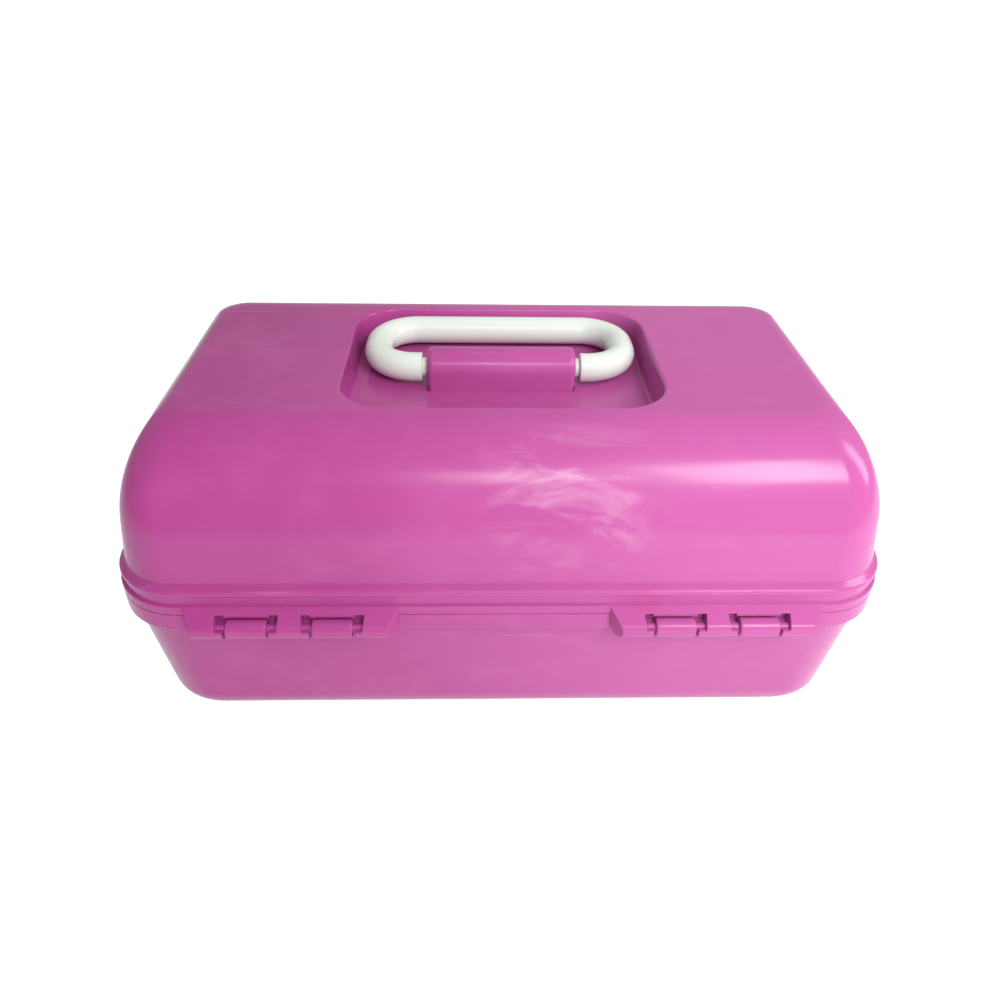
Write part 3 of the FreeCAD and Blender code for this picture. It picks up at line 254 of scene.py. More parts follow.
# %% [markdown]
# ## The lid's rim and its inner face
#
# Below the walls come a bead, a shallow cove and the lip. The lip ends a hair above the base, and
# that slit is the dark line of the seam. Under the lip the skin turns inwards over the rebate and
# climbs the inner face to the pan under the recess. Solidify could give the wall, but the rim's
# steps differ inside and out, so the inner rings are given as well.

# %% Lid rim and inner face
LID_RIM_PROFILE = ((2.6, 94.4), (2.1, 94.0), (1.5, 93.75), (1.0, 93.3), (0.75, 92.7), (0.7, 92.2),
                   (0.7, 91.4), (0.85, 91.1), (1.1, 91.0), (1.3, 90.9), (1.3, 86.7), (1.25, 86.52),
                   (0.5, 86.5), (0.15, 86.35), (0.0, 86.0), (0.0, 82.6), (0.1, 82.35),
                   (0.35, 82.25), (2.35, 82.25), (2.35, 85.65))
INNER_STEPS, INNER_LAST = 14, 12
PAN_X, PAN_Y, PAN_CORNER = 73.6, 54.6, 24.6
PAN_HALF_WAY, PAN_TOP = 55.4, 149.3


def inset_ring(inset, z):
    """An outline parallel to the rim's edge."""
    return HALF_X - inset, HALF_Y - inset, RIM_CORNER - inset, z


for inset, z in LID_RIM_PROFILE:
    lid_rings.append(inset_ring(inset, z))
for z in (85.66, 95.0, 105.0):
    lid_rings.append(lid_ring(z, WALL))
for step in range(INNER_LAST + 1):
    lid_rings.append(lid_ring(TOP - WALL - LID_SIDE_RISE * quarter(step, INNER_STEPS), WALL))
half_x, half_y, corner, z = lid_rings[-1]
lid_rings.append((half_x, PAN_HALF_WAY, corner, PAN_TOP))
for grow, z in ((0.0, 149.2), (0.0, 136.0), (-0.6, 134.4), (-2.0, 133.9)):
    lid_rings.append((PAN_X + grow, PAN_Y + grow, PAN_CORNER + grow, z))
lid = skin("lid_moulding", lid_rings)
smooth(lid, 40)
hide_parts("lid_shell")
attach(lid, "lid")
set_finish(lid, "case_plastic")
print("lid rings:", len(lid_rings), "faces:", len(lid.data.polygons))

# %% [markdown]
# ## The base
#
# The base is the lower moulding. It is made the same way from below, so that both shells meet in
# the same outline: the hollow in the bottom, the standing ring, the rolled edge, the leaning
# walls, the flange, the tongue that enters the lid, and the inner face.

# %% Base rings
BASE_STEPS, BASE_INNER_STEPS = 16, 12
FOOT_PROFILE = ((13.0, 1.0), (12.2, 1.0), (11.6, 0.3), (11.2, 0.0))
FLANGE_PROFILE = ((0.9, 73.4), (0.56, 73.47), (0.26, 73.66), (0.07, 73.96), (0.0, 74.3),
                  (0.0, 81.65), (0.1, 81.9), (0.35, 82.0), (2.8, 82.0), (2.8, 84.9), (3.0, 85.2),
                  (3.9, 85.2), (4.1, 84.9), (4.1, 82.0), (4.4, 82.0))

half_x, half_y, corner, z = base_ring(0.0)
base_rings = [(half_x - inset, half_y - inset, corner - inset, z) for inset, z in FOOT_PROFILE]
for step in range(BASE_STEPS, -1, -1):
    base_rings.append(base_ring(BASE_SIDE_RISE * quarter(step, BASE_STEPS)))
for z in (40.0, 60.0, 70.0, 73.38):
    base_rings.append(base_ring(z))
for inset, z in FLANGE_PROFILE:
    base_rings.append(inset_ring(inset, z))
for z in (81.9, 60.0, 40.0):
    base_rings.append(base_ring(z, WALL))
for step in range(BASE_INNER_STEPS):
    base_rings.append(base_ring(WALL + BASE_SIDE_RISE * quarter(step, BASE_INNER_STEPS), WALL))
base_rings.append(base_ring(WALL, WALL))
base = skin("base_moulding", base_rings)
smooth(base, 40)
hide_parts("base_shell")
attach(base, "base")
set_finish(base, "case_plastic")
print("base rings:", len(base_rings), "faces:", len(base.data.polygons))

# %% [markdown]
# ## Rounds and boxes
#
# The hinge, the bosses and the handle block are straight along the width. Each starts as a round
# or a box at its place, and the place goes into the mesh at once, so that the object itself
# stays at the origin.

# %% Rounds and boxes


def settle(name):
    """Names the new piece and puts its place, turn and size into its mesh."""
    bpy.ops.object.transform_apply(location=True, rotation=True, scale=True)
    bpy.context.object.name = name
    return bpy.context.object


def along_x(name, x0, x1, y, z, radius, sides=40):
    """A round bar between two places along the width."""
    bpy.ops.object.select_all(action="DESELECT")
    bpy.ops.mesh.primitive_cylinder_add(
        vertices=sides, radius=radius * MM, depth=(x1 - x0) * MM,
        location=((x0 + x1) / 2 * MM, y * MM, z * MM), rotation=(0, math.pi / 2, 0))
    return settle(name)


def block_of(name, low, high):
    """A box between two corners."""
    bpy.ops.object.select_all(action="DESELECT")
    middle = [(a + b) / 2 * MM for a, b in zip(low, high)]
    bpy.ops.mesh.primitive_cube_add(size=1, location=middle)
    bpy.ops.transform.resize(value=[(b - a) * MM for a, b in zip(low, high)])
    return settle(name)


print("helpers ready: settle, along_x, block_of")

# %% [markdown]
# ## Joining and cutting
#
# Bores, windows and webs could be drawn face by face. A cutter is quicker and exact: it is joined
# to its piece by a boolean modifier, which is applied at once. A slanted end is one plane's cut,
# so it is bisected.

# %% Joining and cutting


def combine(piece, tool, operation):
    """Joins or cuts with another piece, which is used up."""
    work_on(piece)
    bpy.ops.object.modifier_add(type="BOOLEAN")
    change = piece.modifiers[-1]
    change.operation = operation
    change.solver = "EXACT"
    change.object = tool
    bpy.ops.object.modifier_apply(modifier=change.name)
    bpy.data.objects.remove(tool)
    return piece


def cut_slanted(piece, place, direction):
    """Cuts a piece off beyond a plane and closes it. Each part of a bisect's normal is held to
    between -1 and 1, so a longer one is brought to length 1 first."""
    direction = Vector(direction).normalized()
    work_on(piece)
    bpy.ops.object.mode_set(mode="EDIT")
    bpy.ops.mesh.select_all(action="SELECT")
    bpy.ops.mesh.bisect(plane_co=[number * MM for number in place], plane_no=direction,
                        use_fill=True, clear_outer=True)
    bpy.ops.object.mode_set(mode="OBJECT")
    return piece


print("helpers ready: combine, cut_slanted")

# %% [markdown]
# ## Picking by place
#
# By hand, vertices are picked with the mouse. A script picks them by where they are: a test is
# asked about each vertex, and those that pass are selected when edit mode opens again.

# %% Picking


def pick(piece, test):
    """Selects, in edit mode, the vertices whose place in millimetres passes a test."""
    work_on(piece)
    bpy.ops.object.mode_set(mode="EDIT")
    bpy.ops.mesh.select_mode(type="VERT")
    bpy.ops.mesh.select_all(action="DESELECT")
    bpy.ops.object.mode_set(mode="OBJECT")
    for vertex in piece.data.vertices:
        vertex.select = test(vertex.co / MM)
    bpy.ops.object.mode_set(mode="EDIT")


def pick_ends(piece):
    """Selects, in edit mode, the flat faces at both ends of a bar along the width."""
    pick(piece, lambda place: False)
    bpy.ops.mesh.select_mode(type="FACE")
    bpy.ops.object.mode_set(mode="OBJECT")
    for face in piece.data.polygons:
        face.select = abs(face.normal.x) > 0.9
    bpy.ops.object.mode_set(mode="EDIT")


def gather(piece, test, target):
    """Merges the picked vertices into one and moves it to a target."""
    pick(piece, test)
    bpy.ops.mesh.merge(type="CENTER")
    bpy.ops.object.mode_set(mode="OBJECT")
    spot = [vertex.co.copy() for vertex in piece.data.vertices if vertex.select][0]
    bpy.ops.object.mode_set(mode="EDIT")
    bpy.ops.transform.translate(value=Vector(target) * MM - spot)
    bpy.ops.object.mode_set(mode="OBJECT")


print("helpers ready: pick, pick_ends, gather")

# %% [markdown]
# ## The hinge bars
#
# Two bars hang from the lid's lip and close round the hinge axis. A bar could be a box with a
# round joined on, but the seam between them would show. So it is a round whose upper back is
# gathered to one line at the lip, which leaves flat faces that meet the round. Its ends slant
# inwards over its depth.

# %% Hinge bars
HINGE_Y, HINGE_Z, HINGE_R = 107.35, 79.0, 4.0
HINGE_SIDES, PIN_SIDES = 60, 32
BAR_IN, BAR_OUT, BAR_SLANT, BAR_SPARE = 43.7, 132.0, 5.2, 1
BAR_FRONT, BAR_BACK = 102.77, 112.35
LIP_Y, LIP_Z = 102.35, 86.45
# The part of the round, in degrees from straight behind, that is drawn up to the lip.
DRAWN_UP = (60, 178)


def hinge_bar(side, sign):
    """A bar whose outline is a round drawn up to the lid's lip."""
    x0, x1 = sorted((sign * (BAR_IN - BAR_SPARE), sign * (BAR_OUT + BAR_SPARE)))
    bar = along_x("hinge_bar_" + side, x0, x1, HINGE_Y, HINGE_Z, HINGE_R, HINGE_SIDES)
    for end in (x0, x1):

        def upper(place):
            angle = math.degrees(math.atan2(place.z - HINGE_Z, place.y - HINGE_Y))
            radius = math.hypot(place.y - HINGE_Y, place.z - HINGE_Z)
            return (abs(place.x - end) < MERGE and DRAWN_UP[0] < angle < DRAWN_UP[1]
                    and radius < HINGE_R + 0.1)

        gather(bar, upper, (end, LIP_Y, LIP_Z))
    return bar


print("bar from", BAR_IN, "to", BAR_OUT, "mm on each side")

# %% [markdown]
# ## The windows in the bars
#
# Each bar has two windows, with a narrow wedge of a notch on either side of each, and the base's
# knuckles fill them. Cutting one room after another would leave thin slivers where they meet. So
# a window's rooms are put together as one cutter first, and the bar's ends are slanted last.

# %% Windows
KNUCKLES = (("near", 70.5), ("far", 105.4))
KNUCKLE_HALF, WINDOW_HALF = 8.3, 9.3
BELOW, BEHIND, UNDER_LIP = 70.0, 114.0, 81.98
RELIEF_R, BORE_R, BORE_HALF = 4.6, 2.08, 15.8
NOTCH_IN, NOTCH_OUT, NOTCH_EDGE = 9.28, 12.98, 12.28
NOTCH_LOW, NOTCH_HIGH, NOTCH_SLANT = 80.0, 84.6, (4.6, -0.7)


def window_cutter(middle):
    """The room round one knuckle: a slot under the lip, open behind, a relief and two notches."""
    low, high = middle - WINDOW_HALF, middle + WINDOW_HALF
    cutter = block_of("cutter", (low, BAR_FRONT, BELOW), (high, BEHIND, UNDER_LIP))
    combine(cutter, block_of("open", (low, 105.55, 70.5), (high, 113.5, 90.0)), "UNION")
    relief_round = along_x("relief", low, high, HINGE_Y, HINGE_Z, RELIEF_R, HINGE_SIDES)
    combine(cutter, relief_round, "UNION")
    for way in (-1, 1):
        x0, x1 = sorted((middle + way * NOTCH_IN, middle + way * NOTCH_OUT))
        wedge = block_of("notch", (x0, BAR_FRONT, NOTCH_LOW), (x1, 114.2, NOTCH_HIGH))
        cut_slanted(wedge, (middle + way * NOTCH_EDGE, 108.0, NOTCH_LOW),
                    (way * NOTCH_SLANT[0], 0, NOTCH_SLANT[1]))
        combine(cutter, wedge, "UNION")
    return cutter


for side, sign in (("left", -1), ("right", 1)):
    bar = hinge_bar(side, sign)
    for title, middle in KNUCKLES:
        combine(bar, window_cutter(sign * middle), "DIFFERENCE")
        x = sign * middle
        bore = along_x("bore", x - BORE_HALF, x + BORE_HALF, HINGE_Y, HINGE_Z, BORE_R, PIN_SIDES)
        combine(bar, bore, "DIFFERENCE")
    depth = BAR_BACK - BAR_FRONT
    cut_slanted(bar, (sign * BAR_IN, BAR_FRONT, HINGE_Z), (-sign * depth, BAR_SLANT, 0))
    cut_slanted(bar, (sign * BAR_OUT, BAR_FRONT, HINGE_Z), (sign * depth, BAR_SLANT, 0))
    smooth(bar, 35)
    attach(bar, "lid")
    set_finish(bar, "case_plastic")
    print(bar.name, "faces:", len(bar.data.polygons))

# %% [markdown]
# ## The knuckles
#
# A knuckle is the base's share of the hinge: a round with softened ends, a web that carries it
# from the base's wall, and a thin pin through both. The pin could be a piece of its own, but it is
# moulded on, so all three are joined into one.

# %% Knuckles
END_ROUND, WEB_HALF, PIN_HALF, PIN_R = 0.9, 7.1, 14.8, 2.0
WEB_Y, WEB_LOW, WEB_HIGH = 102.25, 75.2, 81.4

for side, sign in (("left", -1), ("right", 1)):
    for title, middle in KNUCKLES:
        x = sign * middle
        knuckle = along_x("knuckle_%s_%s" % (title, side), x - KNUCKLE_HALF, x + KNUCKLE_HALF,
                          HINGE_Y, HINGE_Z, HINGE_R, HINGE_SIDES)
        pick_ends(knuckle)
        bpy.ops.mesh.bevel(offset=END_ROUND * MM, segments=4, affect="EDGES")
        bpy.ops.object.mode_set(mode="OBJECT")
        web = block_of("web", (x - WEB_HALF, WEB_Y, WEB_LOW), (x + WEB_HALF, HINGE_Y, WEB_HIGH))
        combine(knuckle, web, "UNION")
        pin = along_x("pin", x - PIN_HALF, x + PIN_HALF, HINGE_Y, HINGE_Z, PIN_R, PIN_SIDES)
        combine(knuckle, pin, "UNION")
        smooth(knuckle, 35)
        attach(knuckle, "base")
        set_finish(knuckle, "case_plastic")

# %% [markdown]
# ## The latch's ears
#
# The latch turns between two ears under the front rim. An ear is a box that follows the rim's
# step, with a round nose and a bore. The step is made by splitting the box with a bisect and
# lifting its inner foot, which keeps it one closed piece.

# %% Latch ears
EAR_IN, EAR_OUT, EAR_LOW, EAR_HIGH = 35.5, 40.5, 85.5, 92.5
LATCH_Y, LATCH_Z, NOSE_R, LATCH_BORE_R = -107.85, 89.0, 3.5, 1.88
EAR_BACK, STEP_Y, STEP_UP = -100.95, -103.05, 1.0

for side, sign in (("left", -1), ("right", 1)):
    x0, x1 = sorted((sign * EAR_IN, sign * EAR_OUT))
    ear = block_of("latch_ear_" + side, (x0, LATCH_Y, EAR_LOW), (x1, EAR_BACK, EAR_HIGH))
    pick(ear, lambda place: True)
    bpy.ops.mesh.bisect(plane_co=(0, STEP_Y * MM, 0), plane_no=(0, 1, 0))
    bpy.ops.object.mode_set(mode="OBJECT")
    pick(ear, lambda place: place.z < EAR_LOW + 0.5 and place.y > STEP_Y - 0.05)
    bpy.ops.transform.translate(value=(0, 0, STEP_UP * MM))
    bpy.ops.object.mode_set(mode="OBJECT")
    combine(ear, along_x("round", x0, x1, LATCH_Y, LATCH_Z, NOSE_R, 48), "UNION")
    bore = along_x("bore", x0 - 1, x1 + 1, LATCH_Y, LATCH_Z, LATCH_BORE_R, 32)
    combine(ear, bore, "DIFFERENCE")
    smooth(ear, 35)
    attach(ear, "lid")
    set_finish(ear, "case_plastic")
    print(ear.name, "faces:", len(ear.data.polygons))

# %% [markdown]
# ## Bosses for the rivets
#
# Inside, round bosses on the side walls carry the rivets of the tray's arms and of the push rods.
# All six are alike but for their place, so one helper makes them: a round with a blind hole.

# %% Bosses
BOSS_R, RIVET_R, HOLE_DEPTH = 4.5, 2.0, 5.5


def boss(name, inner, outer, y, z, body):
    """A round on the side wall with a blind hole for a rivet, from its inner to its outer end."""
    x0, x1 = sorted((inner, outer))
    piece = along_x(name, x0, x1, y, z, BOSS_R, 48)
    way = 1 if outer > inner else -1
    h0, h1 = sorted((inner - way * 1.0, inner + way * HOLE_DEPTH))
    combine(piece, along_x("hole", h0, h1, y, z, RIVET_R, 32), "DIFFERENCE")
    smooth(piece, 35)
    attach(piece, body)
    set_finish(piece, "case_plastic")
    return piece


made = []
for side, sign in (("left", -1), ("right", 1)):
    made.append(boss("link_boss_" + side, sign * 153.25, sign * 160.7, 71.35, 91.0, "lid"))
    made.append(boss("front_arm_boss_" + side, sign * 148.55, sign * 159.5, -20.0, 56.0, "base"))
    made.append(boss("rear_arm_boss_" + side, sign * 148.55, sign * 160.6, 15.0, 68.0, "base"))
print("bosses:", [piece.name for piece in made])

# %% [markdown]
# ## Bosses for the mirror
#
# Four pillars hang from the lid's top and take the screws of the mirror's frame. They stand
# upright, so they have a helper of their own, and each is made anew, as it needs its own mesh.

# %% Mirror bosses
MIRROR_BOSSES = ((-123.5, -44.0), (-123.5, 44.0), (123.5, -44.0), (123.5, 44.0))
PILLAR_Z, PILLAR_LENGTH = 141.675, 15.55
SCREW_Z, SCREW_LENGTH, SCREW_R = 138.0, 12.0, 1.5


def upright(name, x, y, z, length, radius, sides):
    """A round that stands upright, with its middle at a place."""
    bpy.ops.object.select_all(action="DESELECT")
    bpy.ops.mesh.primitive_cylinder_add(vertices=sides, radius=radius * MM, depth=length * MM,
                                        location=(x * MM, y * MM, z * MM))
    return settle(name)


for number, (x, y) in enumerate(MIRROR_BOSSES, 1):
    pillar = upright("mirror_boss_%d" % number, x, y, PILLAR_Z, PILLAR_LENGTH, BOSS_R, 48)
    combine(pillar, upright("screw_hole", x, y, SCREW_Z, SCREW_LENGTH, SCREW_R, 32), "DIFFERENCE")
    smooth(pillar, 35)
    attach(pillar, "lid")
    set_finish(pillar, "case_plastic")
print("mirror bosses:", number)

# %% [markdown]
# ## The handle's block
#
# The block is a round top on straight sides, bored at both ends for the handle's pins. It starts
# as a round whose lower half is pressed flat into a foot, which keeps the sides in line with the
# round. On top is the small ring left where the plastic was fed in. It could be pressed into the
# block, but that would spoil the smooth shading round it, so it is a thin ring of its own.

# %% Handle block
PIVOT_Z = 144.5
BLOCK_HALF, BLOCK_R, BLOCK_FOOT, BLOCK_ROUND = 34.5, 9.5, 136.0, 2.5
BORE_IN, BORE_OUT, HANDLE_BORE_R = 24.4, 36.0, 3.08
GATE_R, GATE_THICK, GATE_Y, GATE_Z, GATE_TILT = 1.2, 0.14, 2.5, 153.66, 15.3

block = along_x("handle_block", -BLOCK_HALF, BLOCK_HALF, 0.0, PIVOT_Z, BLOCK_R, 72)
pick(block, lambda place: place.z < PIVOT_Z - MERGE)
bpy.ops.transform.resize(value=(1, 1, 0), center_override=(0, 0, BLOCK_FOOT * MM))
bpy.ops.object.mode_set(mode="OBJECT")
pick_ends(block)
bpy.ops.mesh.bevel(offset=BLOCK_ROUND * MM, segments=5, affect="EDGES")
bpy.ops.object.mode_set(mode="OBJECT")
for x0, x1 in ((-BORE_OUT, -BORE_IN), (BORE_IN, BORE_OUT)):
    combine(block, along_x("bore", x0, x1, 0.0, PIVOT_Z, HANDLE_BORE_R, 32), "DIFFERENCE")
smooth(block, 40)
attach(block, "lid")
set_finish(block, "case_plastic")

bpy.ops.object.select_all(action="DESELECT")
bpy.ops.mesh.primitive_torus_add(
    major_radius=GATE_R * MM, minor_radius=GATE_THICK * MM, major_segments=28, minor_segments=8,
    location=(0, GATE_Y * MM, GATE_Z * MM), rotation=(-math.radians(GATE_TILT), 0, 0))
ring = settle("gate_ring")
smooth(ring, 60)
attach(ring, "lid")
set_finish(ring, "case_plastic")
print("block faces:", len(block.data.polygons), "ring faces:", len(ring.data.polygons))

# %% [markdown]
# ## The handle
#
# The handle is a round bar bent into a flat ring, whose two ends face the block. A curve with a
# round section would do, but its ends would have to be closed by hand. Here one circle is drawn
# along the straights by extruding and round the corners by spinning, as the bar is bent.

# %% Handle bar
BAR_R, LEG_END, BEND_X, NEAR_BEND, FAR_BEND = 6.75, 37.0, 40.75, -18.5, -24.5
LEG_ROUND = 0.6


def bar_step(value):
    """Draws the open end of the bar straight on."""
    move = {"value": [number * MM for number in value]}
    bpy.ops.mesh.extrude_region_move(TRANSFORM_OT_translate=move)


def bar_turn(x, y):
    """Draws the open end of the bar round a corner."""
    bpy.ops.mesh.spin(steps=12, angle=math.pi / 2, center=(x * MM, y * MM, PIVOT_Z * MM),
                      axis=(0, 0, -1), use_auto_merge=False)


bpy.ops.object.select_all(action="DESELECT")
bpy.ops.mesh.primitive_circle_add(vertices=40, radius=BAR_R * MM, fill_type="NOTHING",
                                  location=(-LEG_END * MM, 0, PIVOT_Z * MM),
                                  rotation=(0, math.pi / 2, 0))
handle = settle("handle_bar")
bpy.ops.object.mode_set(mode="EDIT")
bpy.ops.mesh.select_mode(type="VERT")
bpy.ops.mesh.select_all(action="SELECT")
bar_step((LEG_END - BEND_X, 0, 0))
bar_turn(-BEND_X, NEAR_BEND)
bar_step((0, FAR_BEND - NEAR_BEND, 0))
bar_turn(-BEND_X, FAR_BEND)
bar_step((2 * BEND_X, 0, 0))
bar_turn(BEND_X, FAR_BEND)
bar_step((0, NEAR_BEND - FAR_BEND, 0))
bar_turn(BEND_X, NEAR_BEND)
bar_step((LEG_END - BEND_X, 0, 0))
bpy.ops.mesh.select_all(action="SELECT")
bpy.ops.mesh.remove_doubles(threshold=MERGE * MM)
bpy.ops.object.mode_set(mode="OBJECT")
print("bar faces:", len(handle.data.polygons))

# %% [markdown]
# ## The handle's ends
#
# Each end is closed with a flat face and a small bevel. A short shoulder nearly fills the gap to
# the block, and a thinner pin turns in the block's bore. Both could be extruded from the end's
# face, but they stand on the handle's axis and the bar doesn't have to, so they are joined on.

# %% Handle ends
SHOULDER_IN, SHOULDER_OUT, SHOULDER_R = 34.85, 37.4, 4.5
TRUNNION_IN, TRUNNION_R = 24.5, 3.0

for end in (-LEG_END, LEG_END):
    pick(handle, lambda place: abs(place.x - end) < MERGE and place.y > -10)
    bpy.ops.mesh.edge_face_add()
    bpy.ops.mesh.bevel(offset=LEG_ROUND * MM, segments=3, affect="EDGES")
    bpy.ops.object.mode_set(mode="OBJECT")
bpy.ops.object.mode_set(mode="EDIT")
bpy.ops.mesh.select_all(action="SELECT")
bpy.ops.mesh.normals_make_consistent(inside=False)
bpy.ops.object.mode_set(mode="OBJECT")
for sign in (-1, 1):
    x0, x1 = sorted((sign * SHOULDER_IN, sign * SHOULDER_OUT))
    combine(handle, along_x("shoulder", x0, x1, 0, PIVOT_Z, SHOULDER_R, 40), "UNION")
    x0, x1 = sorted((sign * TRUNNION_IN, sign * SHOULDER_OUT))
    combine(handle, along_x("trunnion", x0, x1, 0, PIVOT_Z, TRUNNION_R, 32), "UNION")
smooth(handle, 40)
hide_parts("handle")
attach(handle, "handle")
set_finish(handle, "handle_plastic")
print("handle faces:", len(handle.data.polygons))

# %% [markdown]
# ## Shader building blocks
#
# Every finish is a Principled shader fed by procedural maps in object space, so nothing has to be
# unwrapped. The maps repeat a few steps: a noise, a ramp, a mix, a sum. Each step is a helper
# that places its node and gives back the output.

# %% Shader helpers


def node(tree, kind, place, **settings):
    """A node at its place in the tree's drawing, with its settings."""
    made = tree.nodes.new(kind)
    made.location = place
    for name, setting in settings.items():
        setattr(made, name, setting)
    return made


def feed(tree, made, inputs):
    """Links a socket to each named or numbered input, or sets a plain value there."""
    for name, source in inputs.items():
        if isinstance(source, bpy.types.NodeSocket):
            tree.links.new(source, made.inputs[name])
        else:
            made.inputs[name].default_value = source
    return made


def noise(tree, vector, scale, detail, roughness, distortion, place):
    """Soft random clouds between 0 and 1."""
    made = node(tree, "ShaderNodeTexNoise", place)
    feed(tree, made, {"Vector": vector, "Scale": scale, "Detail": detail,
                      "Roughness": roughness, "Distortion": distortion})
    return made.outputs["Fac"]


def ramp(tree, value, low, high, place, to_low=0.0, to_high=1.0):
    """A value brought from one span to another, with soft ends."""
    made = node(tree, "ShaderNodeMapRange", place, interpolation_type="SMOOTHSTEP")
    feed(tree, made, {"Value": value, "From Min": low, "From Max": high,
                      "To Min": to_low, "To Max": to_high})
    return made.outputs["Result"]


def mix(tree, amount, first, second, place):
    """A colour between two others."""
    made = node(tree, "ShaderNodeMix", place, data_type="RGBA", blend_type="MIX")
    return feed(tree, made, {0: amount, 6: first, 7: second}).outputs[2]


def maths(tree, operation, first, second, place):
    """Two values added, multiplied or compared."""
    made = node(tree, "ShaderNodeMath", place, operation=operation)
    return feed(tree, made, {0: first, 1: second}).outputs[0]


def away_from(tree, vector, spot, place):
    """How far the surface is from a spot, in metres."""
    made = node(tree, "ShaderNodeVectorMath", place, operation="DISTANCE")
    return feed(tree, made, {0: vector, 1: spot}).outputs["Value"]


def turned(tree, vector, rotation, scale, place):
    """The place on the surface, turned and stretched for a pattern."""
    made = node(tree, "ShaderNodeMapping", place)
    feed(tree, made, {"Vector": vector, "Rotation": rotation, "Scale": scale})
    return made.outputs["Vector"]


print("helpers ready: node, feed, noise, ramp, mix, maths, away_from, turned")

# %% [markdown]
# ## A group for mottled colour and painted shade
#
# Coloured plastic is never one even colour: it is faintly mottled. Over that the colour is
# painted deeper towards the +X end of the case, away from the key light, as painted shade. All
# plastics need this, so it is a shader group with named inputs, built once and placed in each
# material with its own colours.

# %% Mottled colour and painted shade


def new_group(name, inputs, output, kind):
    """A shader group with its inputs and its one output, and its two end nodes."""
    group = bpy.data.node_groups.new(name, "ShaderNodeTree")
    for title, socket_kind, default in inputs:
        made = group.interface.new_socket(title, in_out="INPUT", socket_type=socket_kind)
        if default is not None:
            made.default_value = default
    group.interface.new_socket(output, in_out="OUTPUT", socket_type=kind)
    return group, node(group, "NodeGroupInput", (-1100, 0)), node(group, "NodeGroupOutput", (600, 0))


def make_clouds_and_shade():
    """Colour painted deeper towards the +X end as shade, faintly mottled on the way."""
    grey = (0.5, 0.5, 0.5, 1.0)
    inputs = [("Vector", "NodeSocketVector", None)]
    inputs += [(title, "NodeSocketColor", grey) for title in ("Main", "Deep", "Pale")]
    inputs += [("Drift", "NodeSocketFloat", 0.5)]
    group, ends, out = new_group("Clouded colour and end shade", inputs, "Colour", "NodeSocketColor")
    vector, drift = ends.outputs["Vector"], ends.outputs["Drift"]
    split = feed(group, node(group, "ShaderNodeSeparateXYZ", (-900, 400)), {0: vector})
    broad = noise(group, vector, 7.0, 2.0, 0.5, 0.3, (-900, 150))
    sway = maths(group, "MULTIPLY", broad, 0.10, (-700, 150))
    bent = maths(group, "ADD", split.outputs["X"], sway, (-550, 300))
    # Painted shade: the colour deepens towards the +X end, away from the key light.
    shaded_end = ramp(group, bent, -0.07, 0.22, (-400, 300))
    mottled = ramp(group, broad, 0.40, 0.70, (-550, 50), 0.0, 0.10)
    both = maths(group, "ADD", shaded_end, mottled, (-250, 200))
    deep = mix(group, maths(group, "MULTIPLY", both, drift, (-100, 200)),
               ends.outputs["Main"], ends.outputs["Deep"], (50, 200))
    specks = noise(group, vector, 38.0, 4.0, 0.55, 0.6, (-700, -200))
    fine = ramp(group, specks, 0.45, 0.80, (-500, -200), 0.0, 0.13)
    pale = mix(group, maths(group, "MULTIPLY", fine, drift, (-100, -100)),
               deep, ends.outputs["Pale"], (300, 0))
    group.links.new(pale, out.inputs["Colour"])
    return group


CLOUDS_AND_SHADE = make_clouds_and_shade()
print("group:", CLOUDS_AND_SHADE.name, "nodes:", len(CLOUDS_AND_SHADE.nodes))

# %% [markdown]
# ## A group for pale wisps
#
# Pale wisps are painted on one part of the lid's shoulder only. A painted mask would need a
# file beside the script, so a stretched noise is kept to the neighbourhood of one spot instead.

# %% Pale wisps
WISP_SPOT = (-0.028, 0.088, 0.130)


def make_swirls():
    """Pale wisps round one spot on the lid's shoulder, and nowhere else."""
    inputs = [("Vector", "NodeSocketVector", None), ("Amount", "NodeSocketFloat", 0.0)]
    group, ends, out = new_group("Shoulder wisps", inputs, "Mask", "NodeSocketFloat")
    vector = ends.outputs["Vector"]
    near = away_from(group, vector, WISP_SPOT, (-800, 200))
    ragged = noise(group, vector, 30.0, 3.0, 0.5, 0.5, (-800, 0))
    spread = maths(group, "ADD", near, maths(group, "MULTIPLY", ragged, 0.03, (-600, 0)), (-450, 150))
    place = ramp(group, spread, 0.020, 0.062, (-300, 150), 1.0, 0.0)
    drawn = turned(group, vector, (0.5, 0.4, 0.7), (14.0, 34.0, 34.0), (-800, -250))
    streaks = noise(group, drawn, 1.0, 5.0, 0.6, 2.0, (-550, -250))
    wisps = ramp(group, streaks, 0.44, 0.74, (-300, -250))
    found = maths(group, "MULTIPLY", place, wisps, (0, 0))
    mask = maths(group, "MULTIPLY", found, ends.outputs["Amount"], (200, 0))
    group.links.new(mask, out.inputs["Mask"])
    return group


SWIRLS = make_swirls()
print("group:", SWIRLS.name, "nodes:", len(SWIRLS.nodes))

# %% [markdown]
# ## A group for scuffs
#
# A case that is carried about gets fine scratches. Straight lines would look ruled, so noise is
# stretched in three directions, its peaks are kept, and a second noise breaks them up.

# %% Scuffs
SCUFF_STRETCH = (6.0, 420.0, 60.0)


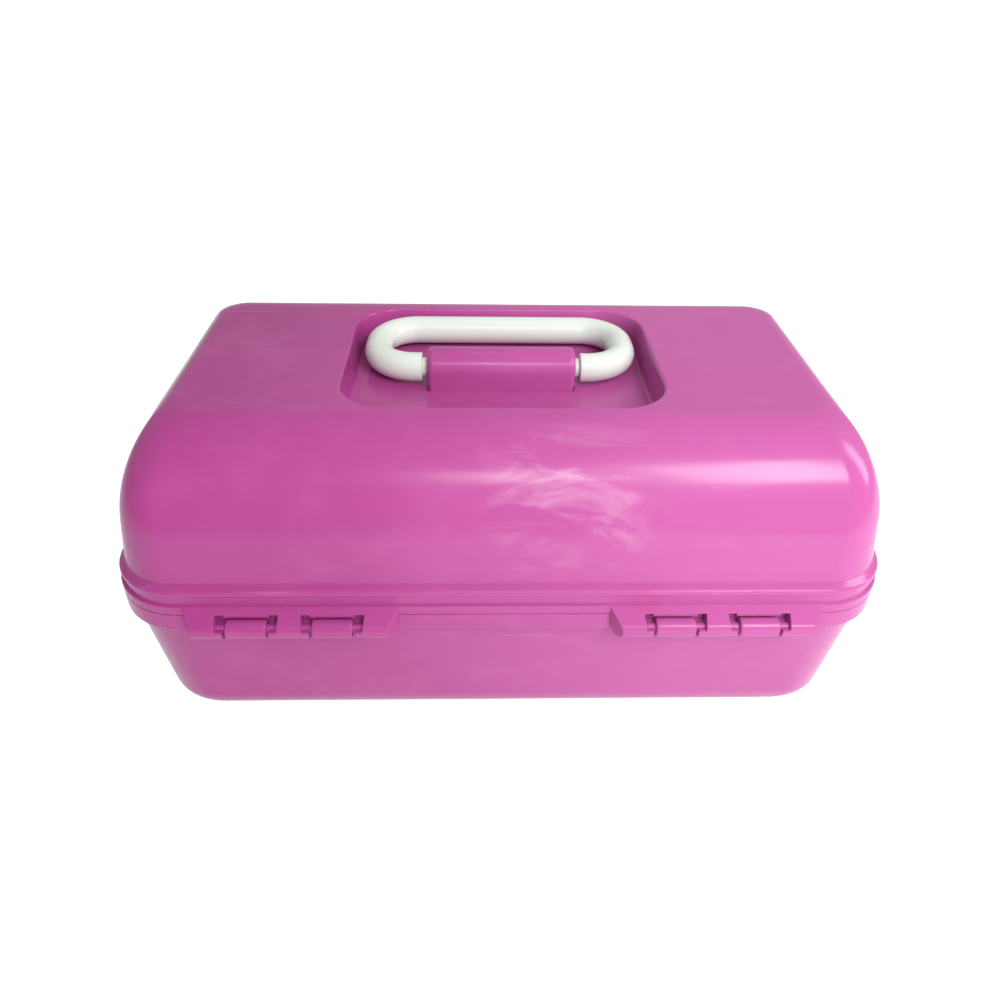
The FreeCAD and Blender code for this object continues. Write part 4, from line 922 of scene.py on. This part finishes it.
def make_scuffs():
    """Thin scratches in three directions, broken up so that they come and go."""
    inputs = [("Vector", "NodeSocketVector", None), ("Amount", "NodeSocketFloat", 0.5)]
    group, ends, out = new_group("Scuffs", inputs, "Mask", "NodeSocketFloat")
    vector = ends.outputs["Vector"]
    lines = []
    for number, turn in enumerate((0.5, 2.1, 1.3)):
        row = 300 - 300 * number
        drawn = turned(group, vector, (0.3 * number, 0.2, turn), SCUFF_STRETCH, (-900, row))
        streak = noise(group, drawn, 1.0, 3.0, 0.5, 0.4, (-650, row))
        lines.append(ramp(group, streak, 0.66, 0.74, (-450, row)))
    most = maths(group, "MAXIMUM", lines[0], lines[1], (-250, 200))
    most = maths(group, "MAXIMUM", most, lines[2], (-100, 100))
    patches = noise(group, vector, 22.0, 3.0, 0.5, 0.0, (-450, -500))
    patch = ramp(group, patches, 0.48, 0.66, (-250, -400))
    broken = maths(group, "MULTIPLY", most, patch, (100, 0))
    mask = maths(group, "MULTIPLY", broken, ends.outputs["Amount"], (300, 0))
    group.links.new(mask, out.inputs["Mask"])
    return group


SCUFFS = make_scuffs()
print("group:", SCUFFS.name, "nodes:", len(SCUFFS.nodes))

# %% [markdown]
# ## The start of a finish
#
# Each finish begins with the same few nodes: a material, the place on the piece, the groups, and
# a bump for its relief. Object space keeps a pattern still on its piece when the piece moves.

# %% Finish helpers


def new_finish(name):
    """A new material, its tree, its Principled shader and the place on the piece."""
    material = bpy.data.materials.new(name)
    material.use_nodes = True
    tree = material.node_tree
    place = node(tree, "ShaderNodeTexCoord", (-1500, 0)).outputs["Object"]
    return material, tree, tree.nodes["Principled BSDF"], place


def use_group(tree, group, vector, place, **values):
    """Places a shader group, feeds it the place on the piece and sets its other inputs."""
    made = node(tree, "ShaderNodeGroup", place, node_tree=group)
    return feed(tree, made, {"Vector": vector, **values})


def relief(tree, shader, strength, distance, place, **inputs):
    """A bump whose distance is in millimetres, on a shader's normal."""
    bump = node(tree, "ShaderNodeBump", place)
    feed(tree, bump, {"Strength": strength, "Distance": distance * MM, **inputs})
    tree.links.new(bump.outputs["Normal"], shader.inputs["Normal"])


print("helpers ready: new_finish, use_group, relief")

# %% [markdown]
# ## Plastic, coloured and worn
#
# The colour is built in layers, as wear is: the clouded plastic with its painted shade at the +X
# end, the wisps, a faint stain by the hinge, then paler edges and scratches on top. The edges
# could be painted on each piece, but a bevel node finds them everywhere, and a noise makes their
# wear uneven.

# %% Plastic colour
STAIN_SPOT, STAIN_COLOUR = (-0.0585, 0.1025, 0.0885), (0.42, 0.035, 0.10, 1.0)
EDGE_RADIUS = 0.5


def worn_edges(tree, place, rounding, edge):
    """A mask that is strong where the piece's edges turn, in patches."""
    geometry = node(tree, "ShaderNodeNewGeometry", (-1200, -300))
    facing = node(tree, "ShaderNodeVectorMath", (-1000, -400), operation="DOT_PRODUCT")
    feed(tree, facing, {0: rounding.outputs["Normal"], 1: geometry.outputs["Normal"]})
    worn = ramp(tree, facing.outputs["Value"], 0.75, 0.985, (-800, -400), edge, 0.0)
    patches = noise(tree, place, 140.0, 4.0, 0.6, 0.0, (-1000, -700))
    patchy = ramp(tree, patches, 0.4, 0.6, (-800, -700))
    return maths(tree, "MULTIPLY", worn, patchy, (-600, -500))


def plastic_colour(tree, place, marks, edges, main, deep, pale, drift, swirl, stain):
    """Clouded plastic with painted end shade, wisps, a stain, worn edges and scratches over it."""
    # The group paints the colour deeper towards the +X end as shade, away from the key light.
    clouds = use_group(tree, CLOUDS_AND_SHADE, place, (-1000, 300), Main=(*main, 1.0), Deep=(*deep, 1.0),
                       Pale=(*pale, 1.0), Drift=drift)
    wisps = use_group(tree, SWIRLS, place, (-1000, 600), Amount=swirl)
    # Pale wisps painted round one spot on the lid's shoulder.
    wisp_colour = [0.5 * number + 0.5 for number in pale]
    colour = mix(tree, wisps.outputs["Mask"], clouds.outputs["Colour"], (*wisp_colour, 1.0), (-800, 500))
    spot = away_from(tree, place, STAIN_SPOT, (-1200, 900))
    rubbed = ramp(tree, spot, 0.002, 0.009, (-1000, 900), stain, 0.0)
    colour = mix(tree, rubbed, colour, STAIN_COLOUR, (-600, 700))
    colour = mix(tree, edges, colour, (*pale, 1.0), (-600, 300))
    scratched = maths(tree, "MULTIPLY", marks, 0.5, (-700, 100))
    return mix(tree, scratched, colour, (*pale, 1.0), (-400, 300))


print("helpers ready: worn_edges, plastic_colour")

# %% [markdown]
# ## Plastic, its gloss and relief
#
# Handled plastic shines unevenly: haze comes and goes, and scratches are duller. Its face is
# nearly flat, with a fine grain, a slow waviness from the mould and shallow scratches. One bump
# carries all three, over the rounded normal of the edges.

# %% Plastic finish


def plastic(name, main, deep, pale, gloss, drift, scuffs, edge=0.25, grain=0.02, swirl=0.0,
            stain=0.0):
    """A moulded plastic: clouded colour with painted shade at one end, worn edges, scratches
    and a slightly uneven gloss.
    """
    material, tree, shader, place = new_finish(name)
    marks = use_group(tree, SCUFFS, place, (-1000, 0), Amount=scuffs).outputs["Mask"]
    rounding = node(tree, "ShaderNodeBevel", (-1200, -500), samples=4)
    feed(tree, rounding, {"Radius": EDGE_RADIUS * MM})
    edges = worn_edges(tree, place, rounding, edge)
    colour = plastic_colour(tree, place, marks, edges, main, deep, pale, drift, swirl, stain)
    tree.links.new(colour, shader.inputs["Base Color"])

    clouds = noise(tree, place, 14.0, 4.0, 0.55, 0.5, (-900, -150))
    haze = ramp(tree, clouds, 0.3, 0.75, (-700, -150), gloss * 0.85, gloss * 1.35)
    dull = maths(tree, "MULTIPLY", marks, 0.35, (-600, -50))
    tree.links.new(maths(tree, "ADD", haze, dull, (-400, -100)), shader.inputs["Roughness"])

    fine = noise(tree, place, 900.0, 3.0, 0.5, 0.0, (-900, -900))
    wavy = noise(tree, place, 28.0, 2.0, 0.5, 0.0, (-900, -1050))
    ripple = maths(tree, "ADD", maths(tree, "MULTIPLY", fine, grain, (-700, -900)),
                   maths(tree, "MULTIPLY", wavy, 0.3, (-700, -1050)), (-500, -950))
    scratched = maths(tree, "MULTIPLY", marks, 0.06, (-500, -800))
    height = maths(tree, "SUBTRACT", ripple, scratched, (-350, -900))
    relief(tree, shader, 0.35, 0.5, (-200, -700), Height=height, Normal=rounding.outputs["Normal"])
    shader.inputs["IOR"].default_value = 1.43
    return material


# Drift sets how far each plastic is painted deeper towards the +X end as shade, with its mottling.
PINK = plastic("Pink plastic", (0.45, 0.088, 0.30), (0.29, 0.030, 0.17), (0.56, 0.16, 0.41),
               gloss=0.19, drift=0.9, scuffs=0.45, edge=0.22, swirl=0.34, stain=0.2)
WHITE = plastic("White plastic", (0.63, 0.67, 0.62), (0.53, 0.55, 0.49), (0.74, 0.77, 0.72),
                gloss=0.17, drift=0.4, scuffs=0.5)
INNER = plastic("Inner plastic", (0.52, 0.13, 0.34), (0.44, 0.09, 0.28), (0.64, 0.24, 0.47),
                gloss=0.34, drift=0.4, scuffs=0.3)
ARMS = plastic("Arm plastic", (0.74, 0.75, 0.72), (0.66, 0.66, 0.62), (0.84, 0.85, 0.82),
               gloss=0.3, drift=0.4, scuffs=0.3)
print("plastics:", [finish.name for finish in (PINK, WHITE, INNER, ARMS)])

# %% [markdown]
# ## Metal and mirror
#
# The rivets and screws are bright steel with dull specks, and the mirror is nearly perfect
# silver. Both are the same finish with another colour and gloss, so one helper makes them.

# %% Metal finish


def metal(name, colour, gloss):
    """A bright metal: faintly clouded colour, painted end shade and fine, uneven rubbing."""
    material, tree, shader, place = new_finish(name)
    darker = [number * 0.7 for number in colour]
    lighter = [min(1.0, number * 1.2) for number in colour]
    # The group paints the metal darker towards the +X end as shade.
    clouds = use_group(tree, CLOUDS_AND_SHADE, place, (-900, 300), Main=(*colour, 1.0), Deep=(*darker, 1.0),
                       Pale=(*lighter, 1.0))
    tree.links.new(clouds.outputs["Colour"], shader.inputs["Base Color"])
    shader.inputs["Metallic"].default_value = 1.0
    rub = noise(tree, place, 260.0, 4.0, 0.6, 0.0, (-900, 0))
    rough = ramp(tree, rub, 0.3, 0.7, (-600, 0), gloss, gloss * 1.7)
    tree.links.new(rough, shader.inputs["Roughness"])
    relief(tree, shader, 0.2, 0.05, (-300, -300), Height=rub)
    return material


STEEL = metal("Rivet steel", (0.62, 0.62, 0.60), 0.22)
GLASS = metal("Mirror silver", (0.86, 0.88, 0.87), 0.02)
print("metals:", STEEL.name, "and", GLASS.name)

# %% [markdown]
# ## Finishes on the pieces
#
# Every piece names the material that it is made of, and the finish for that name is put on it.
# The CAD pieces bring theirs with them, and the new ones were given theirs when they were made.

# %% Finishes on pieces
SLOTS = {"case_plastic": PINK, "handle_plastic": WHITE, "inner_plastic": INNER,
         "arm_plastic": ARMS, "mirror_glass": GLASS, "rivet_metal": STEEL}
dressed = 0
for piece in list(bpy.data.objects):
    if piece.type != "MESH":
        continue
    name = piece.get("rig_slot")
    if name is None and piece.material_slots:
        name = piece.material_slots[0].material.name
    if name is None or name.split(".")[0] not in SLOTS:
        continue
    finish = SLOTS[name.split(".")[0]]
    if piece.material_slots:
        piece.material_slots[0].material = finish
    else:
        piece.data.materials.append(finish)
    dressed += 1
print("pieces with a finish:", dressed)

# %% [markdown]
# ## Floor
#
# A pale floor takes the shadow. An evenly lit one would turn grey towards its far end, so what
# the camera sees of it is a plain floor with a glow, and all other rays meet a pale matt floor,
# which throws the light back up at the case.

# %% Floor
FLOOR_SIDE, FLOOR_PALE, FLOOR_SEEN, FLOOR_GLOW = 6, 0.92, 0.45, 0.87


def for_camera(tree, others, seen, path_place, place):
    """A shader that shows one thing to the camera and another to all other rays."""
    path = node(tree, "ShaderNodeLightPath", path_place)
    choose = node(tree, "ShaderNodeMixShader", place)
    inputs = {0: path.outputs["Is Camera Ray"], 1: others, 2: seen}
    return feed(tree, choose, inputs).outputs[0]


bpy.ops.object.select_all(action="DESELECT")
bpy.ops.mesh.primitive_plane_add(size=FLOOR_SIDE, location=(0, 0, 0))
floor = bpy.context.object
floor.name = "floor"
material = bpy.data.materials.new("Floor")
material.use_nodes = True
tree = material.node_tree
for old in list(tree.nodes):
    tree.nodes.remove(old)
diffuse = node(tree, "ShaderNodeBsdfDiffuse", (-400, 0))
diffuse.inputs["Color"].default_value = (FLOOR_PALE, FLOOR_PALE, FLOOR_PALE, 1.0)
seen = node(tree, "ShaderNodeBsdfDiffuse", (-400, -200))
seen.inputs["Color"].default_value = (FLOOR_SEEN, FLOOR_SEEN, FLOOR_SEEN, 1.0)
glow = node(tree, "ShaderNodeEmission", (-400, -400))
glow.inputs["Strength"].default_value = FLOOR_GLOW
both = node(tree, "ShaderNodeAddShader", (-200, -300))
feed(tree, both, {0: seen.outputs[0], 1: glow.outputs[0]})
end = node(tree, "ShaderNodeOutputMaterial", (200, 0))
shown = for_camera(tree, diffuse.outputs[0], both.outputs[0], (-400, 300), (0, 0))
tree.links.new(shown, end.inputs["Surface"])
floor.data.materials.append(material)
print("floor:", FLOOR_SIDE, "m across, pale", FLOOR_PALE)

# %% [markdown]
# ## The room
#
# The room is a soft, even light from all round. The camera sees pure white behind the case, and
# the case itself gets a weaker white, so that the backdrop can be bright and the plastic keep
# its colour.

# %% World
ROOM_STRENGTH, BACKDROP_STRENGTH = 0.43, 1.0

world = bpy.data.worlds.new("Room")
bpy.context.scene.world = world
world.use_nodes = True
tree = world.node_tree
room = tree.nodes["Background"]
backdrop = node(tree, "ShaderNodeBackground", (0, -200))
for light, strength in ((room, ROOM_STRENGTH), (backdrop, BACKDROP_STRENGTH)):
    feed(tree, light, {"Color": (1.0, 1.0, 1.0, 1.0), "Strength": strength})
shown = for_camera(tree, room.outputs[0], backdrop.outputs[0], (-200, 300), (200, 0))
tree.links.new(shown, tree.nodes["World Output"].inputs["Surface"])
print("room strength:", ROOM_STRENGTH, "backdrop:", BACKDROP_STRENGTH)

# %% [markdown]
# ## Lights
#
# A soft key and a small glint hang high behind the case and leave their reflections on the
# shoulder. Two wide lights brighten the upright walls and the recess, and a weak one in front
# keeps the opened inside readable. Those three would show as bright patches in the gloss, so
# they are kept out of reflections. A side light gives the rim its bright edge.

# %% Lights
# Name, place, target, size, power in watts, and whether the gloss reflects it.
LIGHTS = (
    ("key", (-0.60, 0.92, 1.24), (0, 0, 0.08), (0.42, 0.46), 7.5, True),
    ("glint", (-0.05, 1.02, 1.18), (0, 0, 0.12), (0.26, 0.20), 1.6, True),
    ("lift", (-0.45, 1.20, 1.00), (0, 0, 0.12), (0.9, 0.6), 15.5, False),
    ("fill", (-0.75, 1.55, 0.30), (0, 0, 0.06), (1.3, 0.7), 3.5, False),
    ("front", (0.35, -1.3, 0.95), (0, 0, 0.08), (0.9, 0.6), 6.0, False),
    ("side", (-1.1, 0.1, 0.75), (0, 0, 0.1), (0.3, 0.8), 5.0, True),
)


def soft_light(name, place, target, size, power, reflected):
    """An area light that faces a target."""
    bpy.ops.object.light_add(type="AREA", location=place)
    light = bpy.context.object
    light.name = name
    light.data.shape = "RECTANGLE"
    light.data.size, light.data.size_y = size
    light.data.energy = power
    light.rotation_euler = (Vector(target) - Vector(place)).to_track_quat("-Z", "Y").to_euler()
    light.visible_glossy = reflected


for settings in LIGHTS:
    soft_light(*settings)

# %% [markdown]
# ## Camera
#
# The camera looks down at the case's back from a little to one side. It could be aimed with a
# constraint, but its place and its three angles are known, so its axes are worked out from them.
# A small shift moves the middle of the view up or down without tilting the camera.

# %% Camera
IMAGE_SIDE, SENSOR = 1000, 36
PLACE, PITCH, YAW, ROLL = (12.63, 354.81, 318.87), 34.9, -2.17, 1.27
FOCAL, CENTRE_ROW = 825.63, 494.18


def aim_camera(place, pitch, yaw, roll_angle, focal, centre_row):
    """A camera from its place, its angles in degrees and its focal length in pixels."""
    p, w, r = [math.radians(number) for number in (pitch, yaw, roll_angle)]
    forward = Vector((math.sin(w) * math.cos(p), -math.cos(w) * math.cos(p), -math.sin(p)))
    right = Vector((-math.cos(w), -math.sin(w), 0))
    up = right.cross(forward)
    across = right * math.cos(r) + up * math.sin(r)
    upright_axis = up * math.cos(r) - right * math.sin(r)
    data = bpy.data.cameras.new("Camera")
    data.lens = focal / IMAGE_SIDE * SENSOR
    data.sensor_width = SENSOR
    data.shift_y = (centre_row - IMAGE_SIDE / 2) / IMAGE_SIDE
    camera = bpy.data.objects.new("Camera", data)
    bpy.context.scene.collection.objects.link(camera)
    turn = Matrix((across, upright_axis, -forward)).transposed().to_4x4()
    camera.matrix_world = Matrix.Translation(Vector(place) * MM) @ turn
    bpy.context.scene.camera = camera


aim_camera(PLACE, PITCH, YAW, ROLL, FOCAL, CENTRE_ROW)
bpy.context.scene.view_settings.view_transform = "Standard"
print("camera at", [round(number, 3) for number in bpy.context.scene.camera.location])
